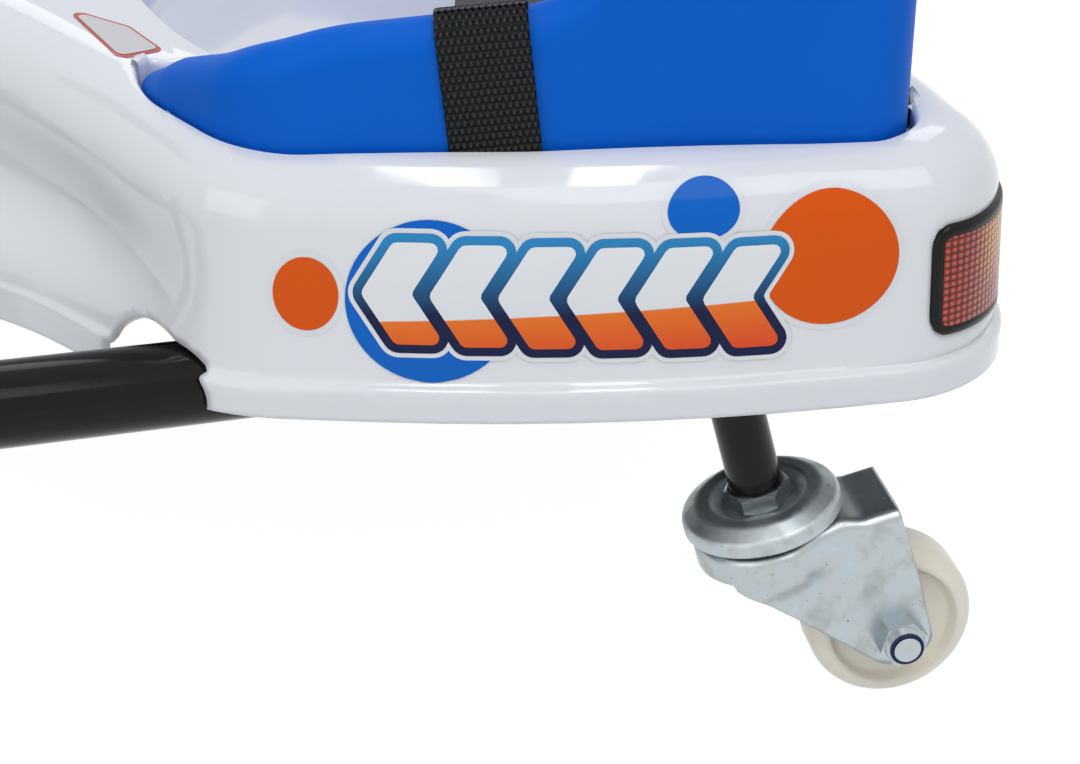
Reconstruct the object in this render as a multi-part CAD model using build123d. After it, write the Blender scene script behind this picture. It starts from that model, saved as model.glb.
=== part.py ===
from build123d import *
import os
from math import cos, radians, sin, tan

os.makedirs("parts", exist_ok=True)

# Electric drift kart. Millimetres, X forward, Y to the kart's left, Z up, floor at Z = 0.

# Wheels and stance
WHEEL_X = 250.0
WHEEL_Y = 225.0
TYRE_R = 100.0
TYRE_W = 54.0
TYRE_ROUND = 16.0
SIDEWALL = 34.0
RIM_R = TYRE_R - SIDEWALL
HUB_W = 46.0
AXLE_R = 6.0
RUN_GAP = 0.05

# Steering
KING_Y = 165.0
KING_R = 5.0
BARREL_R = 13.0
BARREL_LOW = 86.0
BARREL_HIGH = 120.0
ARM_L = 40.0
ARM_T = 6.0
ROD_Z = 134.0
ROD_R = 4.5
PLATE_T = 5.0
PIN_R = 4.0
PIN_GAP = 0.15
COLUMN_LEAN = 32.0
COLUMN_R = 8.0
COLUMN_GAP = 6.0
WHEEL_RIM_R = 108.0
WHEEL_RIM_TUBE = 11.0
COLUMN_TOP = 330.0

# Frame
TUBE_R = 12.0
TUBE_WALL = 2.0
RAIL_Y = 48.0
RAIL_Z = 100.0
REAR_X = -354.0
REAR_Z = 120.0
REAR_HALF = 168.0
CROSS_X = 80.0
BEAM_CLEAR = 14.0
BEAM_HALF = KING_Y - BARREL_R - BEAM_CLEAR
BEAM_SIDE = 24.0
BUMPER_X = 425.0

# Shell
SHELL_LOW = 108.0
LIP_H = 10.0
LIP_OUT = 2.0
RIM_Z = 178.0
SHELL_WALL = 3.0
SIDE_LEAN = 9.0
SHOULDER_R = 22.0
SPLIT_X = 112.0
SPLIT_GAP = 1.5
ARCH_GAP = 5.0
CROSS_GAP = 2.0
ROD_WAY = 11.0

# Foot rests
REST_FROM = 38.0
REST_L = 74.0
REST_W = 100.0
REST_T = 3.0

# Seat
SEAT_LOW = 168.0
SEAT_TOP = 430.0
SEAT_GAP = 2.5
PAN_Z = 150.0
PAN_R = 133.0
PAN_CENTRE = -300.0
BACK_X = -366.0
WING_T = 27.0
WING_TIP_Y = 106.0
TIP_X = -232.0
LEDGE_GAP = 0.3
STRAP_W = 25.0
STRAP_T = 1.6
STRAP_X = -291.0
STRAP_LEAN = 5.7
STRAP_TOP = 213.85
SOFT_GAP = 0.3

# Rear casters
RAKE = 14.4
YAW = 10.0
CUP_X = -367.0
STEM_IN = 9.0
CUP_Y = REAR_HALF - STEM_IN
CUP_Z = 66.2
CUP_R = 23.5
TRAIL = 28.5
DROP = 49.3
CASTER_R = 25.0
CASTER_W = 20.0
FORK_IN = 12.6
FORK_T = 2.5
STEM_R = 5.0
NUT_AF = 17.0
STEM_TUBE_R = 7.8
BOLT_R = 4.0
DISH_Z = 0.8
NUT_TOP = 6.5
CUP_EDGE_Z = -4.3
DRUM_R = 20.5
CROWN_Z = -8.3
RACE_GAP = 0.6


def rounded(points, radii, close=False):
    """Straight runs joined by tangent arcs of the given radii."""
    p = [Vector(*q) for q in points]
    n = len(p)
    if isinstance(radii, (int, float)):
        radii = [radii] * n
    ends = []
    for i in range(n):
        if not close and i in (0, n - 1):
            ends.append((p[i], None, p[i]))
            continue
        a = (p[i - 1] - p[i]).normalized()
        b = (p[(i + 1) % n] - p[i]).normalized()
        r = radii[i]
        turn = 180.0 - a.get_angle(b)
        if r <= 0 or turn < 0.01:
            ends.append((p[i], None, p[i]))
            continue
        t = r * tan(radians(turn / 2))
        m = (a + b).normalized()
        reach = r / cos(radians(turn / 2)) - r
        ends.append((p[i] + a * t, p[i] + m * reach, p[i] + b * t))
    edges = []
    for i in range(n):
        s, m, e = ends[i]
        if m is not None:
            edges.append(Edge.make_three_point_arc(s, m, e))
        if i < n - 1 or close:
            nxt = ends[(i + 1) % n][0]
            if (nxt - e).length > 1e-4:
                edges.append(Edge.make_line(e, nxt))
    return Wire(edges)


def plate(points, radii, z0, z1):
    """Flat plate between two heights with rounded corners in plan."""
    face = Face(rounded([(x, y, z0) for x, y in points], radii, True))
    return extrude(face, amount=z1 - z0, dir=(0, 0, 1))


def side_plate(points, radii, y0, y1):
    """Plate drawn in the XZ plane and run from y0 to y1."""
    face = Face(rounded([(x, y0, z) for x, z in points], radii, True))
    return extrude(face, amount=y1 - y0, dir=(0, 1, 0))


def bar(p, q, r):
    """Round bar between two points."""
    d = Vector(*q) - Vector(*p)
    base = Plane(origin=p, z_dir=d)
    return base * Cylinder(r, d.length, align=(Align.CENTER, Align.CENTER, Align.MIN))


def pipe(points, radii, r=TUBE_R, wall=TUBE_WALL):
    """Bent round tube along a path."""
    path = rounded(points, radii)
    base = Plane(origin=path @ 0, z_dir=path % 0)
    outer = sweep(base * Circle(r), path=path)
    inner = sweep(base * Circle(r - wall), path=path)
    return outer - inner


def box(x0, x1, y0, y1, z0, z1):
    return Pos((x0 + x1) / 2, (y0 + y1) / 2, (z0 + z1) / 2) * Box(x1 - x0, y1 - y0, z1 - z0)


def ring(points, radii=0):
    """Turned solid about Z from an (r, z) outline."""
    face = Face(rounded([(r, 0, z) for r, z in points], radii, True))
    return revolve(face, axis=Axis.Z)


def hexagon(af, h, z0):
    body = extrude(RegularPolygon(af / 2, 6, major_radius=False), amount=h)
    return Pos(0, 0, z0) * body


def mirrored(shape):
    return mirror(shape, about=Plane.XZ)


def save(name, shape):
    if isinstance(shape, (list, ShapeList)):
        shape = Compound(children=list(shape))
    shape.label = name
    export_step(shape, f"parts/{name}.step")


def save_pair(name, shape):
    save(name + "_left", shape)
    save(name + "_right", mirrored(shape))


# Tub: plan outline at the lower edge, one half from the tail forward
TUB_HALF = [(-420, 76), (-448.7, 166), (-322, 190.5), (-188, 181)]
TUB_ROUND = [60, 42, 500, 44]


SHOULDER_STEPS = [SIDE_LEAN, 27, 45, 62, 78, 90]


def inset_points(points, d):
    """Corners of a clockwise outline after every side moves inward by d."""
    n = len(points)
    out = []
    for i in range(n):
        p = Vector(*points[i - 1])
        q = Vector(*points[i])
        r = Vector(*points[(i + 1) % n])
        u = (q - p).normalized()
        v = (r - q).normalized()
        a = Vector(u.Y, -u.X)
        b = Vector(v.Y, -v.X)
        k = d / (1 + a.dot(b))
        out.append((q.X + (a.X + b.X) * k, q.Y + (a.Y + b.Y) * k))
    return out


def tub_plan(inset, z):
    pts = TUB_HALF + [(x, -y) for x, y in reversed(TUB_HALF)]
    radii = [max(r - inset, 2) for r in TUB_ROUND + TUB_ROUND[::-1]]
    return Face(rounded([(x, y, z) for x, y in inset_points(pts, inset)], radii, True))


def tub(skin):
    """Tub body drawn in by skin; the lower band stands proud of the side."""
    low = SHELL_LOW
    lean = radians(SIDE_LEAN)
    band = extrude(tub_plan(skin, low), amount=LIP_H - skin * 0.5, dir=(0, 0, 1))
    centre_z = RIM_Z - SHOULDER_R
    centre_in = LIP_OUT + (centre_z - low) * tan(lean) + SHOULDER_R / cos(lean)
    levels = [(LIP_OUT + skin / cos(lean), low)]
    for turn in SHOULDER_STEPS:
        r = SHOULDER_R - skin
        levels.append((centre_in - r * cos(radians(turn)), centre_z + r * sin(radians(turn))))
    upper = loft([tub_plan(i, z) for i, z in levels], ruled=True)
    return upper + band


# Console: half width low, half width high, top height at stations along X
CONSOLE = [
    (-232, 176, 150, 172),
    (-190, 166, 124, 180),
    (-150, 128, 92, 192),
    (-95, 100, 74, 204),
    (-20, 90, 66, 216),
    (60, 88, 64, 228),
    (180, 92, 64, 240),
]


def console(skin):
    sections = []
    for x, low, high, top in CONSOLE:
        r = 22.0 - skin
        pts = [
            (x, skin - low, SHELL_LOW),
            (x, skin - high, top - skin),
            (x, high - skin, top - skin),
            (x, low - skin, SHELL_LOW),
        ]
        sections.append(Face(rounded(pts, [0, r, r, 0], True)))
    return loft(sections, ruled=True)


# Nose cowl over the front beam
COWL = [
    (SPLIT_X + SPLIT_GAP, 91, 64, 233),
    (190, 104, 74, 232),
    (280, 118, 90, 210),
    (360, 120, 92, 176),
    (408, 100, 80, 146),
]


def cowl(skin):
    sections = []
    for i, (x, low, high, top) in enumerate(COWL):
        r = 20.0 - skin
        if i == len(COWL) - 1:
            x = x - skin
        if i == 0 and skin:
            x = x - 1.0
        pts = [
            (x, skin - low, SHELL_LOW),
            (x, skin - high, top - skin),
            (x, high - skin, top - skin),
            (x, low - skin, SHELL_LOW),
        ]
        sections.append(Face(rounded(pts, [0, r, r, 0], True)))
    return loft(sections, ruled=True)


# Seat opening in the tub's deck, one half from the tail forward
MOUTH_HALF = [(-408, 152), (-300, 161), (-222, 161), (-186, 122)]
MOUTH_ROUND = [16, 200, 40, 40]


def mouth(inset, z0, z1):
    pts = MOUTH_HALF + [(x, -y) for x, y in reversed(MOUTH_HALF)]
    radii = MOUTH_ROUND + MOUTH_ROUND[::-1]
    face = Face(rounded([(x, y, z0) for x, y in pts], radii, True))
    if inset:
        face = offset(face, amount=-inset)
    return extrude(face, amount=z1 - z0, dir=(0, 0, 1))


# Side tube: leaves the shell through an arch, runs beside the rider, ends on the rail
SIDE_PATH = [
    (-346, 126, 108),
    (-262, 139, 102.7),
    (-65, 237.5, 129),
    (CROSS_X, 240, 129),
    (CROSS_X, 56, RAIL_Z),
]
SIDE_BEND = [0, 60, 80, 45, 0]
side_tube = pipe(SIDE_PATH, SIDE_BEND)

rail_top = RAIL_Z + TUBE_R

# Frame: two rails, rear cross tube, front cross tube, front beam with yokes
rails = [bar((REAR_X, s * RAIL_Y, RAIL_Z), (BUMPER_X - 12, s * RAIL_Y, RAIL_Z), TUBE_R) for s in (1, -1)]
rear_cross = bar((REAR_X, -REAR_HALF, REAR_Z), (REAR_X, REAR_HALF, REAR_Z), TUBE_R)
front_cross = bar((CROSS_X, -RAIL_Y, RAIL_Z), (CROSS_X, RAIL_Y, RAIL_Z), TUBE_R)
bh = BEAM_SIDE / 2
beam = box(WHEEL_X - bh, WHEEL_X + bh, -BEAM_HALF, BEAM_HALF, RAIL_Z - bh, RAIL_Z + bh)
EAR_T = 5.0
EAR_GAP = 0.5
ear_in = BEAM_HALF - 14
ear_out = KING_Y + 6
ear_pts = [(WHEEL_X - bh, ear_in), (WHEEL_X - bh, ear_out), (WHEEL_X + bh, ear_out), (WHEEL_X + bh, ear_in)]
ear_round = [0, 8, 8, 0]
low_ear = plate(ear_pts, ear_round, BARREL_LOW - EAR_GAP - EAR_T, BARREL_LOW - EAR_GAP)
high_ear = plate(ear_pts, ear_round, BARREL_HIGH + EAR_GAP, BARREL_HIGH + EAR_GAP + EAR_T)
web = box(WHEEL_X - bh, WHEEL_X + bh, ear_in, BEAM_HALF - 8, BARREL_LOW - EAR_GAP, BARREL_HIGH + EAR_GAP)
yoke = low_ear + high_ear + web
frame_main = rails[0] + rails[1] + rear_cross + front_cross + beam + yoke + mirrored(yoke)
king_hole = Pos(WHEEL_X, KING_Y, 105) * Cylinder(KING_R, 80)
frame_main = frame_main - king_hole - mirrored(king_hole)

# Stem line of the left caster
swivel = Plane(origin=(CUP_X, CUP_Y, CUP_Z)).rotated((0, RAKE, 0))
stem_low = NUT_TOP
stem_tube = swivel * Pos(0, 0, stem_low) * Cylinder(
    STEM_TUBE_R, 60, align=(Align.CENTER, Align.CENTER, Align.MIN))
stem_tube = stem_tube - bar((REAR_X, -REAR_HALF, REAR_Z), (REAR_X, REAR_HALF, REAR_Z), TUBE_R)
stem_tube = stem_tube.solids().sort_by(Axis.Z)[0]
stem_bore = swivel * Pos(0, 0, stem_low) * Cylinder(STEM_R, 16, align=(Align.CENTER, Align.CENTER, Align.MIN))
stem_tube = stem_tube - stem_bore
side_tube = side_tube - frame_main
side_tube = side_tube.solids().sort_by(SortBy.VOLUME)[-1]
save("frame_main", frame_main)
save_pair("side_tube", side_tube)
save("caster_stem_tubes", [stem_tube, mirrored(stem_tube)])

# Front bumper bar
END_X = BUMPER_X - 27
END_Y = 226.0
BEND_Y = 182.0
bumper_path = [(END_X, -END_Y, RAIL_Z), (BUMPER_X, -BEND_Y, RAIL_Z), (BUMPER_X, BEND_Y, RAIL_Z), (END_X, END_Y, RAIL_Z)]
bumper = pipe(bumper_path, [0, 50, 50, 0])
bumper = bumper - rails[0] - rails[1]
bumper = bumper.solids().sort_by(SortBy.VOLUME)[-1]
save("front_bumper", bumper)
cap_line = Plane(origin=bumper_path[3], z_dir=(END_X - BUMPER_X, END_Y - BEND_Y, 0))
cap = cap_line * Cylinder(TUBE_R, 4, align=(Align.CENTER, Align.CENTER, Align.MIN))
cap = cap + cap_line * Pos(0, 0, -8) * Cylinder(TUBE_R - TUBE_WALL, 8, align=(Align.CENTER, Align.CENTER, Align.MIN))
save("bumper_caps", [cap, mirrored(cap)])

# Caster pieces in the swivel frame: Z up along the stem, wheel trailing to -X
def stand(shape):
    return swivel * Rot(0, 0, YAW) * shape


STEM_DOWN = 15.0
stem = Pos(0, 0, -STEM_DOWN) * Cylinder(STEM_R, STEM_DOWN + stem_low + 16, align=(Align.CENTER, Align.CENTER, Align.MIN))
stem = stem + Pos(0, 0, -STEM_DOWN - 3) * Cylinder(8, 3, align=(Align.CENTER, Align.CENTER, Align.MIN))
stem = stand(stem)
save("caster_stems", [stem, mirrored(stem)])
nut_blank = hexagon(NUT_AF, NUT_TOP - DISH_Z, DISH_Z)
nut_turn = ring([(0, DISH_Z), (8.4, DISH_Z), (9.9, DISH_Z + 0.9), (9.9, NUT_TOP - 0.9), (8.4, NUT_TOP), (0, NUT_TOP)])
nut = (nut_blank & nut_turn) - Cylinder(STEM_R, 60)
nut = swivel * nut
save("caster_stem_nuts", [nut, mirrored(nut)])
cup_pts = [(STEM_R, DISH_Z), (11.5, DISH_Z), (14.5, 3.4), (18.5, 3.4), (CUP_R, 0.2), (CUP_R, CUP_EDGE_Z), (21.3, CUP_EDGE_Z),
           (21.3, -1.6), (17.5, 1.0), (15.5, 1.0), (12.5, -1.6), (STEM_R, -1.6)]
cup = ring(cup_pts, [0, 1.5, 1.8, 3.5, 2.5, 0.8, 0.5, 1.5, 1.2, 1.0, 0.8, 0])
cup = swivel * cup
save("caster_cups", [cup, mirrored(cup)])

# Fork: crown under the cup, two legs, hood at the rear
drum_top = -1.6 - RACE_GAP
race_r = 21.3 - 0.5
leg_out = FORK_IN + FORK_T
leg_pts = [(DRUM_R - 2, CROWN_Z), (DRUM_R - 2, -11), (13.7, -15.5), (-0.3, -33.2), (-21.6, -58.0), (-30, -60.5), (-38.4, -55.5),
           (-38.1, -33.9), (-37.2, -13.5), (-36.9, CROWN_Z)]
leg_round = [0, 4, 10, 40, 7, 7, 6, 60, 30, 1.5]
body = side_plate(leg_pts, leg_round, -leg_out, leg_out)
drum = ring([(0, drum_top), (17.5, drum_top), (race_r - 1.0, CUP_EDGE_Z - 0.8), (DRUM_R, CUP_EDGE_Z - 2.4), (DRUM_R, -13),
             (17.0, -16.5), (0, -16.5)], [0, 2, 0.5, 0.5, 3, 3, 0])
hollow_top = CROWN_Z - FORK_T
slot = side_plate([(6, hollow_top), (6, -90), (-70, -90), (-70, hollow_top)], 0, -FORK_IN, FORK_IN)
stem_way = Pos(0, 0, -40) * Cylinder(STEM_R + RUN_GAP, 60, align=(Align.CENTER, Align.CENTER, Align.MIN))
well = Pos(0, 0, -40) * Cylinder(9.5, 40 + hollow_top, align=(Align.CENTER, Align.CENTER, Align.MIN))
axle_way = Pos(-TRAIL, 0, -DROP) * Rot(90, 0, 0) * Cylinder(BOLT_R, 80)
fork = body + drum - slot - stem_way - well - axle_way
save_pair("caster_fork", stand(fork))

axle_at = Pos(-TRAIL, 0, -DROP) * Rot(-90, 0, 0)
bolt_end = 24.0
bolt = Pos(0, 0, -leg_out) * Cylinder(BOLT_R, leg_out + bolt_end, align=(Align.CENTER, Align.CENTER, Align.MIN))
bolt = bolt + hexagon(13, 5, -leg_out - 5)
save_pair("caster_bolt", stand(axle_at * bolt))
lock = hexagon(13, 6.2, leg_out) - Cylinder(BOLT_R, 90)
lock = lock + ring([(BOLT_R, leg_out + 6.2), (6.2, leg_out + 6.2), (5.4, leg_out + 8.2), (BOLT_R, leg_out + 8.2)])
save_pair("caster_locknut", stand(axle_at * lock))
caster_hub = FORK_IN - 0.3
bore = BOLT_R + RUN_GAP
half = CASTER_W / 2
caster = ring([(bore, -caster_hub), (8, -caster_hub), (8.5, -7), (18, -7), (19.5, -half), (CASTER_R, -half),
               (CASTER_R, half), (19.5, half), (18, 7), (8.5, 7), (8, caster_hub), (bore, caster_hub)],
              [0, 1, 1, 1.5, 1, 5.5, 5.5, 1, 1.5, 1, 1, 0])
save_pair("caster_wheel", stand(axle_at * caster))

# Shell
tub_outer = tub(0.0)
tub_inner = tub(SHELL_WALL)
split_cut = box(SPLIT_X, 260, -200, 200, 90, 300)
shell_outer = (tub_outer + console(0.0)) - split_cut
shell_inner = tub_inner + console(SHELL_WALL)
ledge_z = SEAT_LOW - LEDGE_GAP
pan_half = MOUTH_HALF[1][1] - 2 * SEAT_GAP - WING_T + 0.2
pan_rear = BACK_X + SEAT_GAP - 0.2


def wing_way(grow, z0, z1):
    """Ring in which the seat's wings stand, open across the front."""
    room = mouth(SEAT_GAP + WING_T + grow, z0 - 1, z1 + 1) & box(BACK_X + grow, -100, -200, 200, z0 - 1, z1 + 1)
    ring_way = mouth(SEAT_GAP - grow, z0, z1) - room
    half = WING_TIP_Y - grow
    return ring_way - box(TIP_X - 10, -100, -half, half, z0 - 1, z1 + 1)


def pan(grow, z0, z1):
    """Seat pan outline: round at the front, straight sides."""
    disc = Pos(PAN_CENTRE, 0, (z0 + z1) / 2) * Cylinder(PAN_R + grow, z1 - z0)
    sides = box(pan_rear - grow, PAN_CENTRE + PAN_R + grow, -pan_half - grow, pan_half + grow, z0, z1)
    return disc & sides


backing = wing_way(SEAT_GAP + SHELL_WALL, ledge_z - SHELL_WALL, RIM_Z)
basin = pan(SHELL_WALL, PAN_Z - SHELL_WALL, RIM_Z + 12)
core = (shell_inner & (backing + basin))
body_shell = (shell_outer - shell_inner) + core
body_shell = body_shell - wing_way(SEAT_GAP, ledge_z, RIM_Z + 60) - pan(0, PAN_Z, RIM_Z + 60)

# Arch for the side tube
arch_dir = Vector(18, 9, 2.4).normalized()
arch_at = Vector(-200, 170, 111)
arch = bar(arch_at - arch_dir * 60, arch_at + arch_dir * 70, TUBE_R + ARCH_GAP)
cross_way = bar(SIDE_PATH[4], SIDE_PATH[3], TUBE_R + CROSS_GAP)
body_shell = body_shell - arch - mirrored(arch) - cross_way - mirrored(cross_way)

# Column and its opening
crank_x = WHEEL_X - ARM_L
foot = Vector(crank_x + ARM_L / cos(radians(COLUMN_LEAN)), 0, ROD_Z)
column_frame = Plane(origin=foot, z_dir=(-sin(radians(COLUMN_LEAN)), 0, cos(radians(COLUMN_LEAN))),
                     x_dir=(-cos(radians(COLUMN_LEAN)), 0, -sin(radians(COLUMN_LEAN))))
column_way = column_frame * Pos(0, 0, 40) * Cylinder(COLUMN_R + COLUMN_GAP, 300, align=(Align.CENTER, Align.CENTER, Align.MIN))
body_shell = body_shell - column_way

# Tail lamps wrap the rear corners
LAMP_LOW = 120.5
LAMP_HIGH = 153.0
LAMP_FRONT = -415.0
LAMP_IN = 98.0
LAMP_PROUD = 1.0


def lamp_block(grow):
    behind = TUB_HALF[1][0] - 19
    pts = [(behind, LAMP_LOW - grow), (LAMP_FRONT + grow + 4, LAMP_LOW - grow),
           (LAMP_FRONT + grow, LAMP_HIGH + grow), (behind, LAMP_HIGH + grow)]
    return side_plate(pts, 3.0 + grow, LAMP_IN - grow, 210)


LAMP_D = 7.0
lamp_skin = tub(-LAMP_PROUD) - tub(LAMP_D)
lamp = lamp_skin & lamp_block(0)
body_shell = body_shell - lamp_block(0.4) - mirrored(lamp_block(0.4))
body_shell = body_shell.solids().sort_by(SortBy.VOLUME)[-1]
save("body_shell", body_shell)
lamp = lamp.solids().sort_by(SortBy.VOLUME)[-1]
save("tail_lamps", [lamp, mirrored(lamp)])

beam_way = box(WHEEL_X - bh - CROSS_GAP, WHEEL_X + bh + CROSS_GAP, -BEAM_HALF, BEAM_HALF, 80, rail_top + CROSS_GAP)
rod_way = box(crank_x - ROD_WAY, crank_x + ROD_WAY + 6, -KING_Y + 35, KING_Y - 35, ROD_Z - ROD_WAY, ROD_Z + ROD_WAY)
rail_way = bar((CROSS_X, RAIL_Y, RAIL_Z), (BUMPER_X, RAIL_Y, RAIL_Z), TUBE_R + CROSS_GAP)
nose = cowl(0.0) - cowl(SHELL_WALL) - column_way - beam_way - rod_way - rail_way - mirrored(rail_way)
nose = nose.solids().sort_by(SortBy.VOLUME)[-1]
save("front_cowl", nose)

# Seat: wrap-around backrest whose wings run forward round the moulded pan
SEAT_SIDE = [(-404.5, SEAT_LOW), (-180, SEAT_LOW), (-184, 181), (-195, 196.5), (-272, 212), (-312, 216), (-345, 258),
             (-360, 330), (-368, SEAT_TOP), (-404.5, SEAT_TOP)]
SEAT_ROUND = [0, 0, 8, 12, 60, 30, 50, 120, 16, 14]
BACK_FACE = [(-380, SEAT_TOP + 20), (-372, 300), (BACK_X, 200), (BACK_X, SEAT_LOW - 10), (-100, SEAT_LOW - 10), (-100, SEAT_TOP + 20)]
seat = side_plate(SEAT_SIDE, SEAT_ROUND, -170, 170) & mouth(SEAT_GAP, SEAT_LOW, SEAT_TOP + 4)
inside = mouth(SEAT_GAP + WING_T, SEAT_LOW - 4, SEAT_TOP + 40) & side_plate(BACK_FACE, 0, -150, 150)
tip_cut = box(TIP_X, -100, -WING_TIP_Y, WING_TIP_Y, SEAT_LOW - 4, SEAT_TOP)
seat = seat - inside - tip_cut
save("seat", seat)

# Lap belt: two webbing halves over the bolsters and a buckle on the pan
seat_side_y = 161 - SEAT_GAP
strap_out = seat_side_y + SOFT_GAP + STRAP_T / 2
strap_in = seat_side_y - WING_T - 2 * SOFT_GAP - STRAP_T / 2
strap_top = STRAP_TOP + SOFT_GAP + STRAP_T / 2
strap_pan = PAN_Z + 3.0
pan_side = pan_half - 2 * SOFT_GAP - STRAP_T / 2
strap_ledge = ledge_z + 2.0
STRAP_PATH = [(24, strap_pan), (pan_side, strap_pan), (pan_side, strap_ledge), (strap_in, strap_ledge),
              (strap_in, strap_top), (strap_out, strap_top), (strap_out, ledge_z + 1.5)]
STRAP_BEND = [0, 9, 1.1, 1.6, 1.1, 1.1, 0]
path = rounded([(STRAP_X, y, z) for y, z in STRAP_PATH], STRAP_BEND)
belt = sweep(Plane(origin=path @ 0, z_dir=path % 0, x_dir=(1, 0, 0)) * Rectangle(STRAP_W, STRAP_T), path=path)
belt = Pos(STRAP_X, 0, RIM_Z) * Rot(0, STRAP_LEAN, 0) * Pos(-STRAP_X, 0, -RIM_Z) * belt
buckle_low = PAN_Z + 0.5
buckle = plate([(STRAP_X - 18, -23), (STRAP_X + 16, -23), (STRAP_X + 16, 23), (STRAP_X - 18, 23)], 6, buckle_low, buckle_low + 11)
belt_right = mirrored(belt)
save("lap_belt", [belt, belt_right])
save("belt_buckle", buckle)

# Battery block and controller under the seat and console
save("battery_pack", box(-272, -140, -80, 80, RAIL_Z + TUBE_R, PAN_Z - SHELL_WALL - 1))
save("controller_box", box(-60, 20, -52, 52, RAIL_Z + TUBE_R, 150))

# Seat and shell supports
seat_bar = box(-340, -316, -100, 100, RAIL_Z + TUBE_R, PAN_Z - SHELL_WALL)
save("seat_support", seat_bar)
strip_t = 4.0
tail_bar = box(-460, REAR_X + 4, 70, 95, REAR_Z + TUBE_R, REAR_Z + TUBE_R + strip_t) & tub_inner
fore_bar = box(-100, -76, -140, 140, rail_top, rail_top + strip_t) & console(SHELL_WALL)
nose_bar = box(300, 324, -140, 140, rail_top, rail_top + strip_t) & cowl(SHELL_WALL)
save("shell_brackets", [tail_bar, mirrored(tail_bar), fore_bar, nose_bar])
dash = (console(-4.0) - console(0.0)) & box(36, 96, -42, 42, 200, 270)
save("dash_panel", dash)

# Knuckles, kingpins and stub axles
king_h = BARREL_HIGH + EAR_GAP + EAR_T - (BARREL_LOW - EAR_GAP - EAR_T)
king = Pos(WHEEL_X, KING_Y, BARREL_LOW - EAR_GAP - EAR_T) * Cylinder(KING_R, king_h, align=(Align.CENTER, Align.CENTER, Align.MIN))
king = king + Pos(WHEEL_X, KING_Y, BARREL_HIGH + EAR_GAP + EAR_T) * Cylinder(8, 4, align=(Align.CENTER, Align.CENTER, Align.MIN))
save("kingpins", [king, mirrored(king)])
barrel = Pos(WHEEL_X, KING_Y, BARREL_LOW) * Cylinder(BARREL_R, BARREL_HIGH - BARREL_LOW, align=(Align.CENTER, Align.CENTER, Align.MIN))
arm = plate([(WHEEL_X, KING_Y - 9), (crank_x, KING_Y - 8), (crank_x - 8, KING_Y), (crank_x, KING_Y + 8), (WHEEL_X, KING_Y + 9)],
            [0, 5, 5, 5, 0], BARREL_HIGH - ARM_T, BARREL_HIGH)
AXLE_Z = TYRE_R
flange_y = WHEEL_Y - HUB_W / 2 - 6
stub = bar((WHEEL_X, KING_Y, AXLE_Z), (WHEEL_X, flange_y, AXLE_Z), 10)
pin = Pos(crank_x, KING_Y, BARREL_HIGH) * Cylinder(PIN_R, 20, align=(Align.CENTER, Align.CENTER, Align.MIN))
king_way = Pos(WHEEL_X, KING_Y, 105) * Cylinder(KING_R + RUN_GAP, 90)
knuckle = barrel + arm + stub + pin - king_way
save_pair("knuckle", knuckle)
axle = bar((WHEEL_X, flange_y, AXLE_Z), (WHEEL_X, WHEEL_Y + HUB_W / 2 + 2, AXLE_Z), AXLE_R)
axle_head = bar((WHEEL_X, WHEEL_Y + HUB_W / 2 + 1, AXLE_Z), (WHEEL_X, WHEEL_Y + HUB_W / 2 + 7, AXLE_Z), 10)
save_pair("stub_axle", axle + axle_head)

# Front wheels: hub motor, tyre
wheel_at = Pos(WHEEL_X, WHEEL_Y, AXLE_Z) * Rot(-90, 0, 0)
hw = HUB_W / 2
motor = ring([(AXLE_R + RUN_GAP, -hw), (30, -hw), (36, -hw + 4), (RIM_R - 8, -hw + 4), (RIM_R, -hw + 1), (RIM_R, hw - 1),
              (RIM_R - 8, hw - 6), (36, hw - 6), (30, hw), (AXLE_R + RUN_GAP, hw)], [0, 2, 2, 3, 0, 0, 3, 2, 2, 0])
save_pair("hub_motor", wheel_at * motor)
tw = TYRE_W / 2
tyre = ring([(RIM_R, -hw + 1), (RIM_R + 4, -tw + 2), (TYRE_R, -tw + 2), (TYRE_R, tw - 2), (RIM_R + 4, tw - 2), (RIM_R, hw - 1)],
            [0, 4, TYRE_ROUND, TYRE_ROUND, 4, 0])
save_pair("front_tyre", wheel_at * tyre)

# Tie rod between the knuckle pins with a slotted plate in the middle
rod = bar((crank_x, 16, ROD_Z), (crank_x, KING_Y, ROD_Z), ROD_R)
eyes = [Pos(crank_x, s * KING_Y, ROD_Z) * Cylinder(9, 10) for s in (1, -1)]
mid = box(crank_x - 14, crank_x + 14, -22, 22, ROD_Z - PLATE_T / 2, ROD_Z + PLATE_T / 2)
slot_half = PIN_R / cos(radians(COLUMN_LEAN)) + 3.0
slot_way = box(crank_x - slot_half, crank_x + slot_half, -PIN_R - PIN_GAP, PIN_R + PIN_GAP, ROD_Z - 9, ROD_Z + 9)
eye_ways = [Pos(crank_x, s * KING_Y, ROD_Z) * Cylinder(PIN_R + RUN_GAP, 40) for s in (1, -1)]
tie_rod = rod + mirrored(rod) + mid + eyes[0] + eyes[1] - slot_way - eye_ways[0] - eye_ways[1]
save("tie_rod", tie_rod)

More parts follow.
